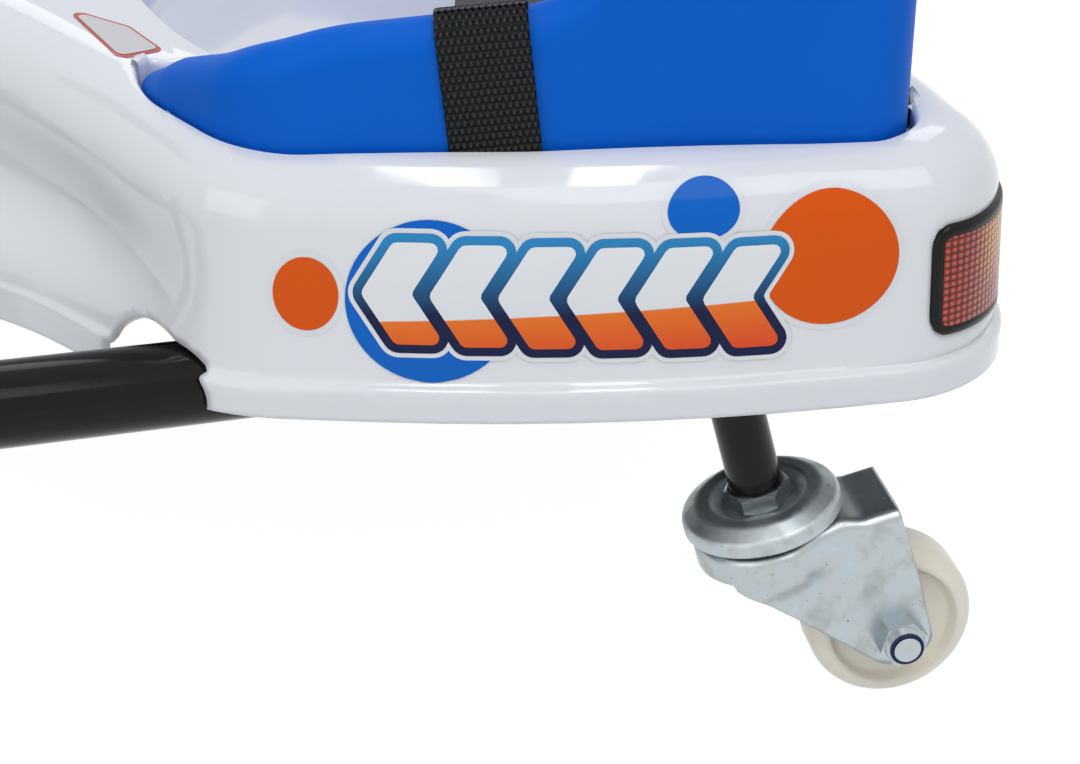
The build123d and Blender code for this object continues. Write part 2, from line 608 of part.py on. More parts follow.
# Column with crank, drawn in its own frame: Z up the column, X towards the crank pin
CRANK_AT = 40.0
CRANK_T = 6.0
shaft = Pos(0, 0, CRANK_AT) * Cylinder(COLUMN_R, COLUMN_TOP - CRANK_AT, align=(Align.CENTER, Align.CENTER, Align.MIN))
crank = plate([(-10, -10), (ARM_L, -8), (ARM_L + 8, 0), (ARM_L, 8), (-10, 10)], [8, 4, 4, 4, 8], CRANK_AT, CRANK_AT + CRANK_T)
crank_pin = Pos(ARM_L, 0, 10) * Cylinder(PIN_R, CRANK_AT - 10 + 1, align=(Align.CENTER, Align.CENTER, Align.MIN))
save("steering_column", column_frame * (shaft + crank + crank_pin))
bearing_low = CRANK_AT + CRANK_T + 6
CHEEK_IN = 17.0
CHEEK_OUT = 21.0
block = Pos(0, 0, bearing_low) * Box(30, 2 * CHEEK_OUT, 34, align=(Align.CENTER, Align.CENTER, Align.MIN))
cheek_pts = [(241, rail_top), (262, rail_top), (262, 158), (240, 200), (226, 196), (234, 172), (244, 150)]
cheeks = side_plate(cheek_pts, 0, CHEEK_IN, CHEEK_OUT) + side_plate(cheek_pts, 0, -CHEEK_OUT, -CHEEK_IN)
bracket = column_frame * block + cheeks - column_frame * Cylinder(COLUMN_R + RUN_GAP, 500)
save("column_bracket", bracket)

# Steering wheel
wheel_z = COLUMN_TOP
rim = Pos(0, 0, wheel_z) * Torus(WHEEL_RIM_R, WHEEL_RIM_TUBE)
hub = Pos(0, 0, wheel_z - 12) * Cylinder(32, 22, align=(Align.CENTER, Align.CENTER, Align.MIN))
spokes = [Rot(0, 0, a) * (Pos(WHEEL_RIM_R / 2, 0, wheel_z - 2) * Box(WHEEL_RIM_R - 4, 22, 9)) for a in (0, 120, 240)]
wheel = rim + hub + spokes[0] + spokes[1] + spokes[2] - Pos(0, 0, wheel_z - 40) * Cylinder(COLUMN_R, 40, align=(Align.CENTER, Align.CENTER, Align.MIN))
save("steering_wheel", column_frame * wheel)
pad = Pos(0, 0, wheel_z + 10) * Cylinder(26, 5, align=(Align.CENTER, Align.CENTER, Align.MIN))
save("horn_pad", column_frame * pad)

# Foot rests and throttle pedal
cross_low = Vector(*SIDE_PATH[4])
cross_run = (Vector(*SIDE_PATH[3]) - cross_low).normalized()
rest_in = cross_low + cross_run * REST_FROM
rest_plane = Plane(origin=rest_in, x_dir=(1, 0, 0), z_dir=Vector(1, 0, 0).cross(cross_run))
rest = rest_plane * plate([(-REST_L, 0), (-REST_L, REST_W), (0, REST_W), (0, 0)], [6, 20, 0, 0], -REST_T / 2, REST_T / 2)
rest = rest - bar(SIDE_PATH[4], SIDE_PATH[3], TUBE_R)
save("foot_rests", [rest, mirrored(rest)])
pedal = side_plate([(40, 116), (58, 116), (72, 170), (66, 174)], [1, 1, 2, 2], -150, -110)
save("throttle_pedal", pedal)
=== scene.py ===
from math import acos, cos, pi, radians, sin, sqrt, tan

import bmesh
import bpy
import numpy as np
from mathutils import Matrix, Vector
from mathutils.bvhtree import BVHTree


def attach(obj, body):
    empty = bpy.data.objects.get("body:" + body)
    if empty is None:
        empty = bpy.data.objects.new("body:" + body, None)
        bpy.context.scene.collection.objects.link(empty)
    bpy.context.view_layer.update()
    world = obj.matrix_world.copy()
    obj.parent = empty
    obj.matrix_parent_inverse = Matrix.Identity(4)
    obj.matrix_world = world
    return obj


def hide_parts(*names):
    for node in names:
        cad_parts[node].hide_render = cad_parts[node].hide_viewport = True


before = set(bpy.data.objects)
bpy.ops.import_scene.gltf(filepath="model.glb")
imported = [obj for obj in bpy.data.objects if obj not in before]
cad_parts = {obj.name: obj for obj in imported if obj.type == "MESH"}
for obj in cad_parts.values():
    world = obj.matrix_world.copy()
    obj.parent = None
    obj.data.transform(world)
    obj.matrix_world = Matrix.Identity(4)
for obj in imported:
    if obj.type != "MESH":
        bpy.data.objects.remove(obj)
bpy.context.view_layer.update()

bl_info = {
    "name": "Electric drift kart",
    "version": (1, 0, 0),
    "blender": (4, 5, 0),
    "location": "View3D > Sidebar > Kart",
    "description": "Dresses the packed kart with moulded shells, printed film, webbing and plated steel",
    "category": "Add Mesh",
}

MM = 0.001


def linear(hex_colour):
    """Linear RGBA of an sRGB hex colour such as 'DDE0E4'."""
    out = []
    for i in (0, 2, 4):
        c = int(hex_colour[i:i + 2], 16) / 255
        out.append(c / 12.92 if c <= 0.04045 else ((c + 0.055) / 1.055) ** 2.4)
    return (*out, 1.0)


# Sizes and colours that a user may change

class KartSizes(bpy.types.PropertyGroup):
    film: bpy.props.FloatProperty(name="Film", description="Thickness of the printed vinyl film",
                                  default=0.15 * MM, unit="LENGTH")
    crest: bpy.props.FloatProperty(name="Crest", description="Rounding along the seat's upper edge",
                                   default=9.0 * MM, unit="LENGTH")
    pick: bpy.props.FloatProperty(name="Pick", description="Spacing of the webbing's cross threads",
                                  default=2.1 * MM, unit="LENGTH")
    wall: bpy.props.FloatProperty(name="Wall", description="Thickness of the moulded shells",
                                  default=3.0 * MM, unit="LENGTH")


def colour_property(label, words, hex_colour):
    """Colour that a user may change, from an sRGB hex default."""
    return bpy.props.FloatVectorProperty(name=label, description=words, subtype="COLOR", size=4,
                                         min=0.0, max=1.0, default=linear(hex_colour))


class KartColours(bpy.types.PropertyGroup):
    shell: colour_property("Shell", "Gloss white of the moulded shells", "E9EBEE")
    seat: colour_property("Seat", "Blue of the moulded backrest", "0066D6")
    orange: colour_property("Orange", "Orange of the printed dots", "E65A04")
    blue: colour_property("Blue", "Blue of the printed dots", "0068CC")
    navy: colour_property("Navy", "Dark outline of the printed blocks", "101C44")
    webbing: colour_property("Webbing", "Black of the belt", "121316")
    nylon: colour_property("Nylon", "Ivory of the rear caster wheels", "F6EFDF")
    zinc: colour_property("Zinc", "Bright plated steel of the casters", "B4BABC")


def colours():
    """The kart's colours in this scene."""
    return bpy.context.scene.kart_colours


def sizes():
    """The kart's sizes in this scene."""
    return bpy.context.scene.kart_sizes


# Materials

def node(tree, kind, links=None, **settings):
    """Adds one shader node, with its settings, fixed inputs and links."""
    made = tree.nodes.new(kind)
    for key, value in settings.items():
        setattr(made, key, value)
    for key, value in (links or {}).items():
        if isinstance(value, bpy.types.NodeSocket):
            tree.links.new(value, made.inputs[key])
        else:
            made.inputs[key].default_value = value
    return made


def finish_of(name, **sockets):
    """New material with one Principled shader. Gives the material, its tree and its shader."""
    mat = bpy.data.materials.new(name)
    mat.use_nodes = True
    tree = mat.node_tree
    shader = tree.nodes["Principled BSDF"]
    for key, value in sockets.items():
        shader.inputs[key.replace("_", " ")].default_value = value
    return mat, tree, shader


def grain(tree, size_mm, detail=2.0, rough=0.5, stretch=(1, 1, 1)):
    """Noise whose features are about size_mm across, in the object's own coordinates."""
    at = node(tree, "ShaderNodeTexCoord")
    move = node(tree, "ShaderNodeMapping", {"Vector": at.outputs["Object"], "Scale": stretch})
    return node(tree, "ShaderNodeTexNoise", {"Vector": move.outputs["Vector"], "Scale": 1000.0 / size_mm,
                                             "Detail": detail, "Roughness": rough})


def ramp(tree, source, stops):
    """Colour ramp from a list of (position, colour)."""
    made = node(tree, "ShaderNodeValToRGB", {"Fac": source})
    band = made.color_ramp
    while len(band.elements) < len(stops):
        band.elements.new(0.5)
    for element, (place, colour) in zip(band.elements, stops):
        element.position = place
        element.color = colour
    return made


def grey(v):
    """Opaque grey of one value."""
    return (v, v, v, 1.0)


def bumped(tree, shader, height, depth_mm, strength=1.0):
    """Bump of a given depth into the shader's normal."""
    made = node(tree, "ShaderNodeBump", {"Height": height, "Strength": strength, "Distance": depth_mm * MM})
    tree.links.new(made.outputs["Normal"], shader.inputs["Normal"])


def tinted(tree, shader, source, colour, other):
    """Base colour that wanders between two close colours."""
    mix = node(tree, "ShaderNodeMix", {0: source, 6: colour, 7: other}, data_type="RGBA")
    tree.links.new(mix.outputs[2], shader.inputs["Base Color"])


def shade(colour, k):
    """The colour made darker or lighter by a factor."""
    return (*[min(1.0, c * k) for c in colour[:3]], 1.0)


def gloss_abs():
    """Injection moulded ABS with a polished surface: a clear, even gloss over a slight mould ripple."""
    c = tuple(colours().shell)
    mat, tree, shader = finish_of("gloss_white_moulded_abs", Roughness=0.09, IOR=1.53)
    cloud = grain(tree, 60.0, 1.0)
    tinted(tree, shader, cloud.outputs["Fac"], c, shade(c, 0.965))
    bumped(tree, shader, grain(tree, 28.0, 1.0).outputs["Fac"], 0.12, 0.35)
    return mat


def matt_seat():
    """Blow moulded polyethylene: a soft satin sheen, with a fine grain from the sand-blasted mould."""
    c = tuple(colours().seat)
    mat, tree, shader = finish_of("satin_blue_moulded_polyethylene", Roughness=0.5, IOR=1.5,
                                  Specular_IOR_Level=0.12)
    cloud = grain(tree, 90.0, 1.0)
    tinted(tree, shader, cloud.outputs["Fac"], c, shade(c, 0.9))
    bumped(tree, shader, grain(tree, 0.7, 2.0).outputs["Fac"], 0.05, 0.35)
    return mat


def tube_paint(name="gloss_black_powder_coat", rough=0.12):
    """Powder coated steel tube: deep black gloss with the faint orange peel of the coat."""
    mat, tree, shader = finish_of(name, Roughness=rough, IOR=1.5, Specular_IOR_Level=0.2)
    cloud = grain(tree, 40.0, 2.0)
    tinted(tree, shader, cloud.outputs["Fac"], linear("08090A"), linear("101113"))
    bumped(tree, shader, grain(tree, 1.8, 2.0).outputs["Fac"], 0.05, 0.25)
    return mat


def black_plastic():
    """Textured polypropylene: a dull black with the leather-like grain of an etched mould."""
    mat, tree, shader = finish_of("grained_black_polypropylene", Roughness=0.55, IOR=1.49)
    cloud = grain(tree, 25.0, 2.0)
    tinted(tree, shader, cloud.outputs["Fac"], linear("1A1B1D"), linear("242628"))
    bumped(tree, shader, grain(tree, 1.1, 3.0).outputs["Fac"], 0.12, 0.5)
    return mat


def zinc_plate(name="bright_zinc_plated_steel", rough=0.3, tint=1.0):
    """Zinc plated pressed steel: grey metal with a bluish passivation cloud, small pits and dark stains."""
    c = tuple(colours().zinc)
    mat, tree, shader = finish_of(name, Metallic=1.0, Roughness=rough)
    cloud = grain(tree, 9.0, 4.0, 0.6)
    bluish = (c[0] * 0.93 * tint, c[1] * tint, c[2] * 1.05 * tint, 1)
    mix = ramp(tree, cloud.outputs["Fac"], [(0.3, shade(c, 0.8 * tint)), (0.5, shade(c, tint)),
                                            (0.64, bluish), (0.8, shade(c, 1.1 * tint))])
    spots = grain(tree, 1.3, 1.0, 0.5)
    dark = ramp(tree, spots.outputs["Fac"], [(0.2, grey(0.2)), (0.26, grey(1.0))])
    both = node(tree, "ShaderNodeMix", {0: 1.0, 6: mix.outputs["Color"], 7: dark.outputs["Color"]},
                data_type="RGBA", blend_type="MULTIPLY")
    tree.links.new(both.outputs[2], shader.inputs["Base Color"])
    worn = ramp(tree, cloud.outputs["Fac"], [(0.3, grey(rough + 0.16)), (0.7, grey(rough - 0.04))])
    tree.links.new(worn.outputs["Color"], shader.inputs["Roughness"])
    bumped(tree, shader, grain(tree, 2.2, 3.0).outputs["Fac"], 0.08, 0.5)
    return mat


def nylon():
    """Cast nylon wheel: warm ivory, slightly translucent, dulled where it rolls."""
    c = tuple(colours().nylon)
    mat, tree, shader = finish_of("ivory_cast_nylon", Roughness=0.34, IOR=1.53, Subsurface_Weight=0.15,
                                  Subsurface_Radius=(3 * MM, 2.4 * MM, 1.8 * MM), Subsurface_Scale=1.0)
    cloud = grain(tree, 14.0, 3.0)
    tinted(tree, shader, cloud.outputs["Fac"], c, shade(c, 0.9))
    bumped(tree, shader, grain(tree, 3.0, 3.0).outputs["Fac"], 0.08, 0.4)
    return mat


def rubber():
    """Vulcanised rubber: a soft matt black that greys slightly on the high spots."""
    mat, tree, shader = finish_of("moulded_black_rubber", Roughness=0.7, IOR=1.52)
    cloud = grain(tree, 12.0, 4.0)
    tinted(tree, shader, cloud.outputs["Fac"], linear("1B1B1C"), linear("2A2A2B"))
    bumped(tree, shader, grain(tree, 1.5, 4.0).outputs["Fac"], 0.12, 0.5)
    return mat


def aluminium():
    """Die-cast aluminium: even light grey with a fine blasted grain."""
    mat, tree, shader = finish_of("blasted_die_cast_aluminium", Metallic=1.0, Roughness=0.38)
    cloud = grain(tree, 18.0, 3.0)
    tinted(tree, shader, cloud.outputs["Fac"], linear("9B9EA1"), linear("B3B6B8"))
    bumped(tree, shader, grain(tree, 0.9, 2.0).outputs["Fac"], 0.06, 0.4)
    return mat


def printed_film(name, top, low, from_mm, to_mm, rough=0.16):
    """Screen printed vinyl film: a flat bright ink under clear gloss that fades between two heights."""
    mat, tree, shader = finish_of(name, Roughness=rough, IOR=1.5, Specular_IOR_Level=0.15)
    at = node(tree, "ShaderNodeTexCoord")
    part = node(tree, "ShaderNodeSeparateXYZ", {"Vector": at.outputs["Object"]})
    level = node(tree, "ShaderNodeMapRange", {"Value": part.outputs["Z"], "From Min": from_mm * MM,
                                              "From Max": to_mm * MM})
    fade = ramp(tree, level.outputs["Result"], [(0.0, low), (1.0, top)])
    cloud = grain(tree, 30.0, 1.0)
    both = node(tree, "ShaderNodeMix", {0: 0.06, 6: fade.outputs["Color"], 7: cloud.outputs["Fac"]},
                data_type="RGBA", blend_type="OVERLAY")
    tree.links.new(both.outputs[2], shader.inputs["Base Color"])
    bumped(tree, shader, grain(tree, 7.0, 2.0).outputs["Fac"], 0.05, 0.3)
    return mat


def two_tone_film():
    """Screen printed vinyl in two inks: white above, orange that deepens downwards, with a crisp border."""
    mat, tree, shader = finish_of("white_and_orange_print_on_vinyl", Roughness=0.16, IOR=1.5,
                                  Specular_IOR_Level=0.3)
    at = node(tree, "ShaderNodeTexCoord")
    part = node(tree, "ShaderNodeSeparateXYZ", {"Vector": at.outputs["Object"]})
    # The border slopes down by 4 mm in 100 mm towards the front
    fall = node(tree, "ShaderNodeMath", {0: part.outputs["X"], 1: 0.04}, operation="MULTIPLY")
    high = node(tree, "ShaderNodeMath", {0: part.outputs["Z"], 1: fall.outputs[0]}, operation="ADD")
    level = node(tree, "ShaderNodeMapRange", {"Value": high.outputs[0], "From Min": 112 * MM,
                                              "From Max": 142 * MM})
    inks = ramp(tree, level.outputs["Result"], [(0.0, linear("E4420C")), (0.45, linear("EE7410")),
                                                (0.462, linear("E6E9EC")), (1.0, linear("EDEFF1"))])
    cloud = grain(tree, 30.0, 1.0)
    both = node(tree, "ShaderNodeMix", {0: 0.05, 6: inks.outputs["Color"], 7: cloud.outputs["Fac"]},
                data_type="RGBA", blend_type="OVERLAY")
    tree.links.new(both.outputs[2], shader.inputs["Base Color"])
    bumped(tree, shader, grain(tree, 7.0, 2.0).outputs["Fac"], 0.05, 0.3)
    return mat


def clear_film():
    """Clear vinyl margin round the print: nearly invisible, with its own slightly duller gloss."""
    c = tuple(colours().shell)
    mat, tree, shader = finish_of("clear_vinyl_film", Roughness=0.2, IOR=1.5)
    cloud = grain(tree, 20.0, 1.0)
    tinted(tree, shader, cloud.outputs["Fac"], shade(c, 0.965), shade(c, 0.945))
    bumped(tree, shader, grain(tree, 9.0, 2.0).outputs["Fac"], 0.06, 0.4)
    return mat


def webbing():
    """Woven polypropylene webbing: rows of black ribs across the strap, with a painted highlight on each
    crown and painted shade in the gaps.
    """
    c = tuple(colours().webbing)
    mat, tree, shader = finish_of("woven_black_polypropylene_webbing", Roughness=0.45, IOR=1.49,
                                  Specular_IOR_Level=0.22)
    at = node(tree, "ShaderNodeUVMap", uv_map="UVMap")
    part = node(tree, "ShaderNodeSeparateXYZ", {"Vector": at.outputs["UV"]})
    pick = sizes().pick / MM
    row = node(tree, "ShaderNodeMath", {0: part.outputs["Y"], 1: pi / pick}, operation="MULTIPLY")
    rib = node(tree, "ShaderNodeMath", {0: row.outputs[0]}, operation="SINE")
    rib_up = node(tree, "ShaderNodeMath", {0: rib.outputs[0]}, operation="ABSOLUTE")
    # Threads run along the strap 1.8 mm apart and step by about half a thread on every second row
    turn = node(tree, "ShaderNodeMath", {0: part.outputs["Y"], 1: pick}, operation="DIVIDE")
    count = node(tree, "ShaderNodeMath", {0: turn.outputs[0]}, operation="FLOOR")
    odd = node(tree, "ShaderNodeMath", {0: count.outputs[0], 1: 2.0}, operation="FLOORED_MODULO")
    shift = node(tree, "ShaderNodeMath", {0: odd.outputs[0], 1: 0.94}, operation="MULTIPLY")
    slid = node(tree, "ShaderNodeMath", {0: part.outputs["X"], 1: shift.outputs[0]}, operation="ADD")
    wave = node(tree, "ShaderNodeMath", {0: slid.outputs[0], 1: pi / 1.8}, operation="MULTIPLY")
    thread = node(tree, "ShaderNodeMath", {0: wave.outputs[0]}, operation="SINE")
    thread_up = node(tree, "ShaderNodeMath", {0: thread.outputs[0]}, operation="ABSOLUTE")
    height = node(tree, "ShaderNodeMath", {0: rib_up.outputs[0], 1: thread_up.outputs[0]},
                  operation="MULTIPLY")
    # Base colour with painted shade, very dark in the gaps between threads, and a painted highlight, five
    # times brighter, on their crowns
    painted_rib_light = ramp(tree, height.outputs[0], [(0.2, shade(c, 0.1)), (0.6, shade(c, 0.8)), (0.95, shade(c, 5.0))])
    tree.links.new(painted_rib_light.outputs["Color"], shader.inputs["Base Color"])
    bumped(tree, shader, height.outputs[0], 0.7, 1.0)
    return mat


def lamp_lens():
    """Moulded acrylic lamp lens: red prism cells in a square grid, with a painted highlight on each crown and
    painted shade in the grooves, turning amber above.
    """
    mat, tree, shader = finish_of("prismatic_red_acrylic", Roughness=0.14, IOR=1.49, Specular_IOR_Level=0.35)
    at = node(tree, "ShaderNodeUVMap", uv_map="UVMap")
    part = node(tree, "ShaderNodeSeparateXYZ", {"Vector": at.outputs["UV"]})
    ups = []
    for axis, cell in (("X", 2.4), ("Y", 2.0)):
        wave = node(tree, "ShaderNodeMath", {0: part.outputs[axis], 1: pi / cell}, operation="MULTIPLY")
        s = node(tree, "ShaderNodeMath", {0: wave.outputs[0]}, operation="SINE")
        ups.append(node(tree, "ShaderNodeMath", {0: s.outputs[0]}, operation="ABSOLUTE"))
    cell = node(tree, "ShaderNodeMath", {0: ups[0].outputs[0], 1: ups[1].outputs[0]}, operation="MULTIPLY")
    # Each set of three colours runs from a cell's groove to its crown: painted shade in the grooves, a
    # painted highlight on the crowns
    inks = (("4E0E10", "A02A24", "D2583C"), ("8A3214", "DE7C1E", "F4C83A"))
    red, amber = (ramp(tree, cell.outputs[0], [(0.1, linear(gap)), (0.45, linear(flank)), (0.9, linear(top))])
                  for gap, flank, top in inks)
    # The amber field grows towards the top and the rear: U runs back from the front edge, V up, in mm
    along = node(tree, "ShaderNodeMapRange", {"Value": part.outputs["X"], "From Min": 12.0, "From Max": 24.0})
    up = node(tree, "ShaderNodeMapRange", {"Value": part.outputs["Y"], "From Min": 8.0, "From Max": 27.0})
    field = node(tree, "ShaderNodeMath", {0: along.outputs["Result"], 1: up.outputs["Result"]},
                 operation="MULTIPLY")
    mix = node(tree, "ShaderNodeMix", {0: field.outputs[0], 6: red.outputs["Color"],
                                       7: amber.outputs["Color"]}, data_type="RGBA")
    tree.links.new(mix.outputs[2], shader.inputs["Base Color"])
    bumped(tree, shader, cell.outputs[0], 0.35, 0.6)
    return mat


FINISHES = {}


def dot_ink(name, colour, low_mm, high_mm):
    """Ink of the printed dots, which deepens a little towards the foot."""
    return printed_film(name, tuple(colour), shade(tuple(colour), 0.93), low_mm, high_mm)


def finish(name):
    """Each finish is made once and shared."""
    makers = {
        "shell": gloss_abs, "seat": matt_seat, "tube": tube_paint, "plastic": black_plastic,
        "zinc": zinc_plate, "nylon": nylon, "rubber": rubber, "aluminium": aluminium,
        "webbing": webbing, "lens": lamp_lens, "clear": clear_film,
        "orange": lambda: dot_ink("orange_print_on_vinyl", colours().orange, 120, 170),
        "blue": lambda: dot_ink("blue_print_on_vinyl", colours().blue, 120, 175),
        "navy": lambda: printed_film("navy_fade_print_on_vinyl", linear("2E8CC8"), tuple(colours().navy),
                                     138, 158),
        "two_tone": two_tone_film,
        "lock_ring": lambda: printed_film("blue_nylon_locking_ring", linear("1C2E5A"), linear("16244A"),
                                          0, 60),
        "bezel": lambda: tube_paint("gloss_black_lamp_bezel", 0.25),
        "zinc_soft": lambda: zinc_plate("dull_zinc_plated_steel", 0.42, 1.05),
        "screw": lambda: zinc_plate("zinc_plated_screw", 0.28, 0.7),
        "green": lambda: printed_film("moulded_green_button", linear("2E9A4A"), linear("278A40"),
                                      0, 300, 0.3),
        "red": lambda: printed_film("moulded_red_button", linear("C0302A"), linear("A82A24"), 0, 300, 0.3),
        "nut": lambda: zinc_plate("yellow_green_zinc_passivation", 0.26, 0.95),
        "satin_black": lambda: tube_paint("satin_black_powder_coat", 0.38),
        "red_line": lambda: printed_film("red_print_on_vinyl", linear("C8584E"), linear("B8463E"), 120, 200),
        "blank": lambda: printed_film("pale_print_on_vinyl", linear("DCDAD6"), linear("C6C8C8"), 170, 195),
    }
    if name not in FINISHES:
        FINISHES[name] = makers[name]()
    return FINISHES[name]


# Mesh tools: points in millimetres

def put(name, verts, faces, finish_name, body, sharp=35.0, uv=None, turn_out=True):
    """New piece from points and faces, which rides on a body."""
    mesh = bpy.data.meshes.new(name)
    points = [tuple(float(c) * MM for c in v) for v in verts]
    mesh.from_pydata(points, [], [tuple(int(i) for i in f) for f in faces])
    mesh.validate()
    if turn_out:
        shape = bmesh.new()
        shape.from_mesh(mesh)
        bmesh.ops.recalc_face_normals(shape, faces=shape.faces)
        shape.to_mesh(mesh)
        shape.free()
    if uv is not None:
        layer = mesh.uv_layers.new(name="UVMap")
        flat = np.array([uv[loop.vertex_index] for loop in mesh.loops], np.float32)
        layer.data.foreach_set("uv", flat.ravel())
    mesh.shade_smooth()
    mesh.set_sharp_from_angle(angle=radians(sharp))
    obj = bpy.data.objects.new(name, mesh)
    bpy.context.scene.collection.objects.link(obj)
    mesh.materials.append(finish(finish_name))
    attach(obj, body)
    return obj


def walled(obj, wall_mm, side=-1.0):
    """Gives a skin its wall, behind its faces or in front of them."""
    m = obj.modifiers.new("wall", "SOLIDIFY")
    m.thickness = wall_mm * MM
    m.offset = side
    m.use_even_offset = False
    return obj


def bend_path(points, radii, step):
    """Points every step along straight runs joined by tangent arcs."""
    p = [Vector((*q, 0.0)) if len(q) == 2 else Vector(q) for q in points]
    raw = [p[0]]
    for i in range(1, len(p) - 1):
        a = (p[i - 1] - p[i]).normalized()
        b = (p[i + 1] - p[i]).normalized()
        turn = pi - a.angle(b)
        r = radii[i]
        if r <= 0 or turn < 1e-3:
            raw.append(p[i])
            continue
        t = r * tan(turn / 2)
        centre = p[i] + (a + b).normalized() * (r / cos(turn / 2))
        u = p[i] + a * t - centre
        v = p[i] + b * t - centre
        n = max(4, int(turn / radians(2)))
        for k in range(n + 1):
            f = k / n
            arm = (u * sin((1 - f) * turn) + v * sin(f * turn)) / sin(turn)
            raw.append(centre + arm)
    raw.append(p[-1])
    raw = np.array([tuple(q) for q in raw])
    keep = np.r_[True, np.linalg.norm(np.diff(raw, axis=0), axis=1) > 1e-6]
    raw = raw[keep]
    run = run_along(raw)
    n = max(2, int(round(run[-1] / step)) + 1)
    at = np.linspace(0, run[-1], n)
    return np.column_stack([np.interp(at, run, raw[:, i]) for i in range(3)])


def run_along(path):
    """Length along a path from its start to each of its points."""
    return np.r_[0, np.cumsum(np.linalg.norm(np.diff(path, axis=0), axis=1))]


def headings(path, passes=0):
    """Unit direction at each point of a path, with each pass spreading a corner over its neighbours."""
    d = np.gradient(path, axis=0)
    d /= np.linalg.norm(d, axis=1)[:, None]
    for _ in range(passes):
        d = np.vstack([d[:1], (d[:-2] + d[1:-1] * 2 + d[2:]) / 4, d[-1:]])
    return d / np.linalg.norm(d, axis=1)[:, None]


def fan(rings, n):
    """Faces of a disc: a point in the middle, then rings of n points, from the inside out."""
    F = [(0, 1 + i, 1 + (i + 1) % n) for i in range(n)]
    for r in range(rings - 1):
        a, b = 1 + r * n, 1 + (r + 1) * n
        F += [(a + i, b + i, b + (i + 1) % n, a + (i + 1) % n) for i in range(n)]
    return F


def quads(rows, cols, start=0, closed=False):
    """Faces of a grid whose points are stored row by row."""
    out = []
    last = cols if closed else cols - 1
    for r in range(rows - 1):
        here = start + r * cols
        above = here + cols
        for c in range(last):
            d = (c + 1) % cols
            out.append((here + c, here + d, above + d, above + c))
    return out


def ease(x, low, high):
    """Smooth step from 0 at low to 1 at high."""
    t = np.clip((np.asarray(x, float) - low) / (high - low), 0, 1)
    return t * t * (3 - 2 * t)


def vertex_normals(V, F):
    """Unit normal at each point, from the four-sided faces round it."""
    n = np.zeros_like(V)
    a = V[F[:, 2]] - V[F[:, 0]]
    b = V[F[:, 3]] - V[F[:, 1]]
    fn = np.cross(a, b)
    for k in range(4):
        np.add.at(n, F[:, k], fn)
    return n / np.maximum(np.linalg.norm(n, axis=1), 1e-9)[:, None]


def rim_edges(F):
    """Directed edges that belong to one face only."""
    e = np.concatenate([F[:, [i, (i + 1) % 4]] for i in range(4)])
    key = {}
    for a, b in e:
        key.setdefault((min(a, b), max(a, b)), []).append((a, b))
    return [v[0] for v in key.values() if len(v) == 1]


def carve(V, F, field, reach=5.0):
    """Cuts away the faces where field is negative and draws the new edge onto its zero line."""
    N = vertex_normals(V, F)
    old = {tuple(sorted(e)) for e in rim_edges(F)}
    F = F[field(V[F].mean(axis=1)) > 0]
    new = [e for e in rim_edges(F) if tuple(sorted(e)) not in old]
    ids = np.unique(np.array(new).ravel())
    P = V[ids].copy()
    n = N[ids]
    for _ in range(6):
        f = field(P)
        g = np.zeros_like(P)
        for k in range(3):
            d = np.zeros(3)
            d[k] = 0.05
            g[:, k] = (field(P + d) - field(P - d)) / 0.1
        g -= (g * n).sum(axis=1)[:, None] * n
        size = np.maximum((g * g).sum(axis=1), 0.05)
        P -= np.clip(f / size, -reach, reach)[:, None] * g
    V = V.copy()
    V[ids] = P
    return V, F, new


def skirt(V, F, edges, field, steps):
    """Turns the cut edge over: each step goes so far into the opening and so far down."""
    ids = np.unique(np.array(edges).ravel())
    P = V[ids]
    g = np.zeros_like(P)
    for k in range(2):
        d = np.zeros(3)
        d[k] = 0.05
        g[:, k] = field(P - d) - field(P + d)
    g /= np.maximum(np.linalg.norm(g, axis=1), 1e-9)[:, None]
    last = {i: i for i in ids}
    for into, down in steps:
        fresh = P + g * into - np.array([0, 0, down])
        names = {i: len(V) + k for k, i in enumerate(ids)}
        V = np.vstack([V, fresh])
        F = np.vstack([F, [(last[b], last[a], names[a], names[b]) for a, b in edges]])
        last = names
    return V, F


def outline_field(path):
    """Signed distance in plan to a closed outline: negative inside."""
    A = np.asarray(path)[:, :2]
    B = np.roll(A, -1, axis=0)

    def field(P):
        out = np.empty(len(P))
        for start in range(0, len(P), 2000):
            q = P[start:start + 2000, None, :2]
            ab = B - A
            t = np.clip(((q - A) * ab).sum(-1) / np.maximum((ab * ab).sum(-1), 1e-9), 0, 1)
            dist = np.linalg.norm(q - (A + t[..., None] * ab), axis=-1).min(axis=1)
            x, y = q[..., 0], q[..., 1]
            at_y = (B[:, 0] - A[:, 0]) * (y - A[:, 1]) / (B[:, 1] - A[:, 1] + 1e-12) + A[:, 0]
            cross = ((A[:, 1] > y) != (B[:, 1] > y)) & (x < at_y)
            inside = cross.sum(axis=1) % 2 == 1
            out[start:start + 2000] = np.where(inside, -dist, dist)
        return out

    return field


def bar_field(at, along, radius):
    """Signed distance to a round bar: negative inside."""
    at = np.array(at, float)
    along = np.array(along, float) / np.linalg.norm(along)

    def field(P):
        d = P - at
        d = d - (d @ along)[:, None] * along
        return np.linalg.norm(d, axis=1) - radius

    return field


def welded(V, F):
    """Merges points in the same place and drops the faces that close up."""
    key, index = {}, []
    for v in np.round(V, 2):
        index.append(key.setdefault(tuple(v), len(key)))
    index = np.array(index)
    first = np.zeros(len(key), int)
    first[index[::-1]] = np.arange(len(V))[::-1]
    faces = [tuple(dict.fromkeys(int(index[i]) for i in f)) for f in F]
    return V[first], [f for f in faces if len(f) > 2]


def both_sides(V, F):
    """Adds the mirror image across the kart's middle and joins it on."""
    W = V * np.array([1, -1, 1])
    G = [tuple(len(V) + i for i in reversed(f)) for f in F]
    return welded(np.vstack([V, W]), [tuple(f) for f in F] + G)


def mirrored(V, F):
    """The same piece on the kart's right side."""
    return np.asarray(V) * np.array([1, -1, 1]), [tuple(reversed(f)) for f in F]


# Tub shell

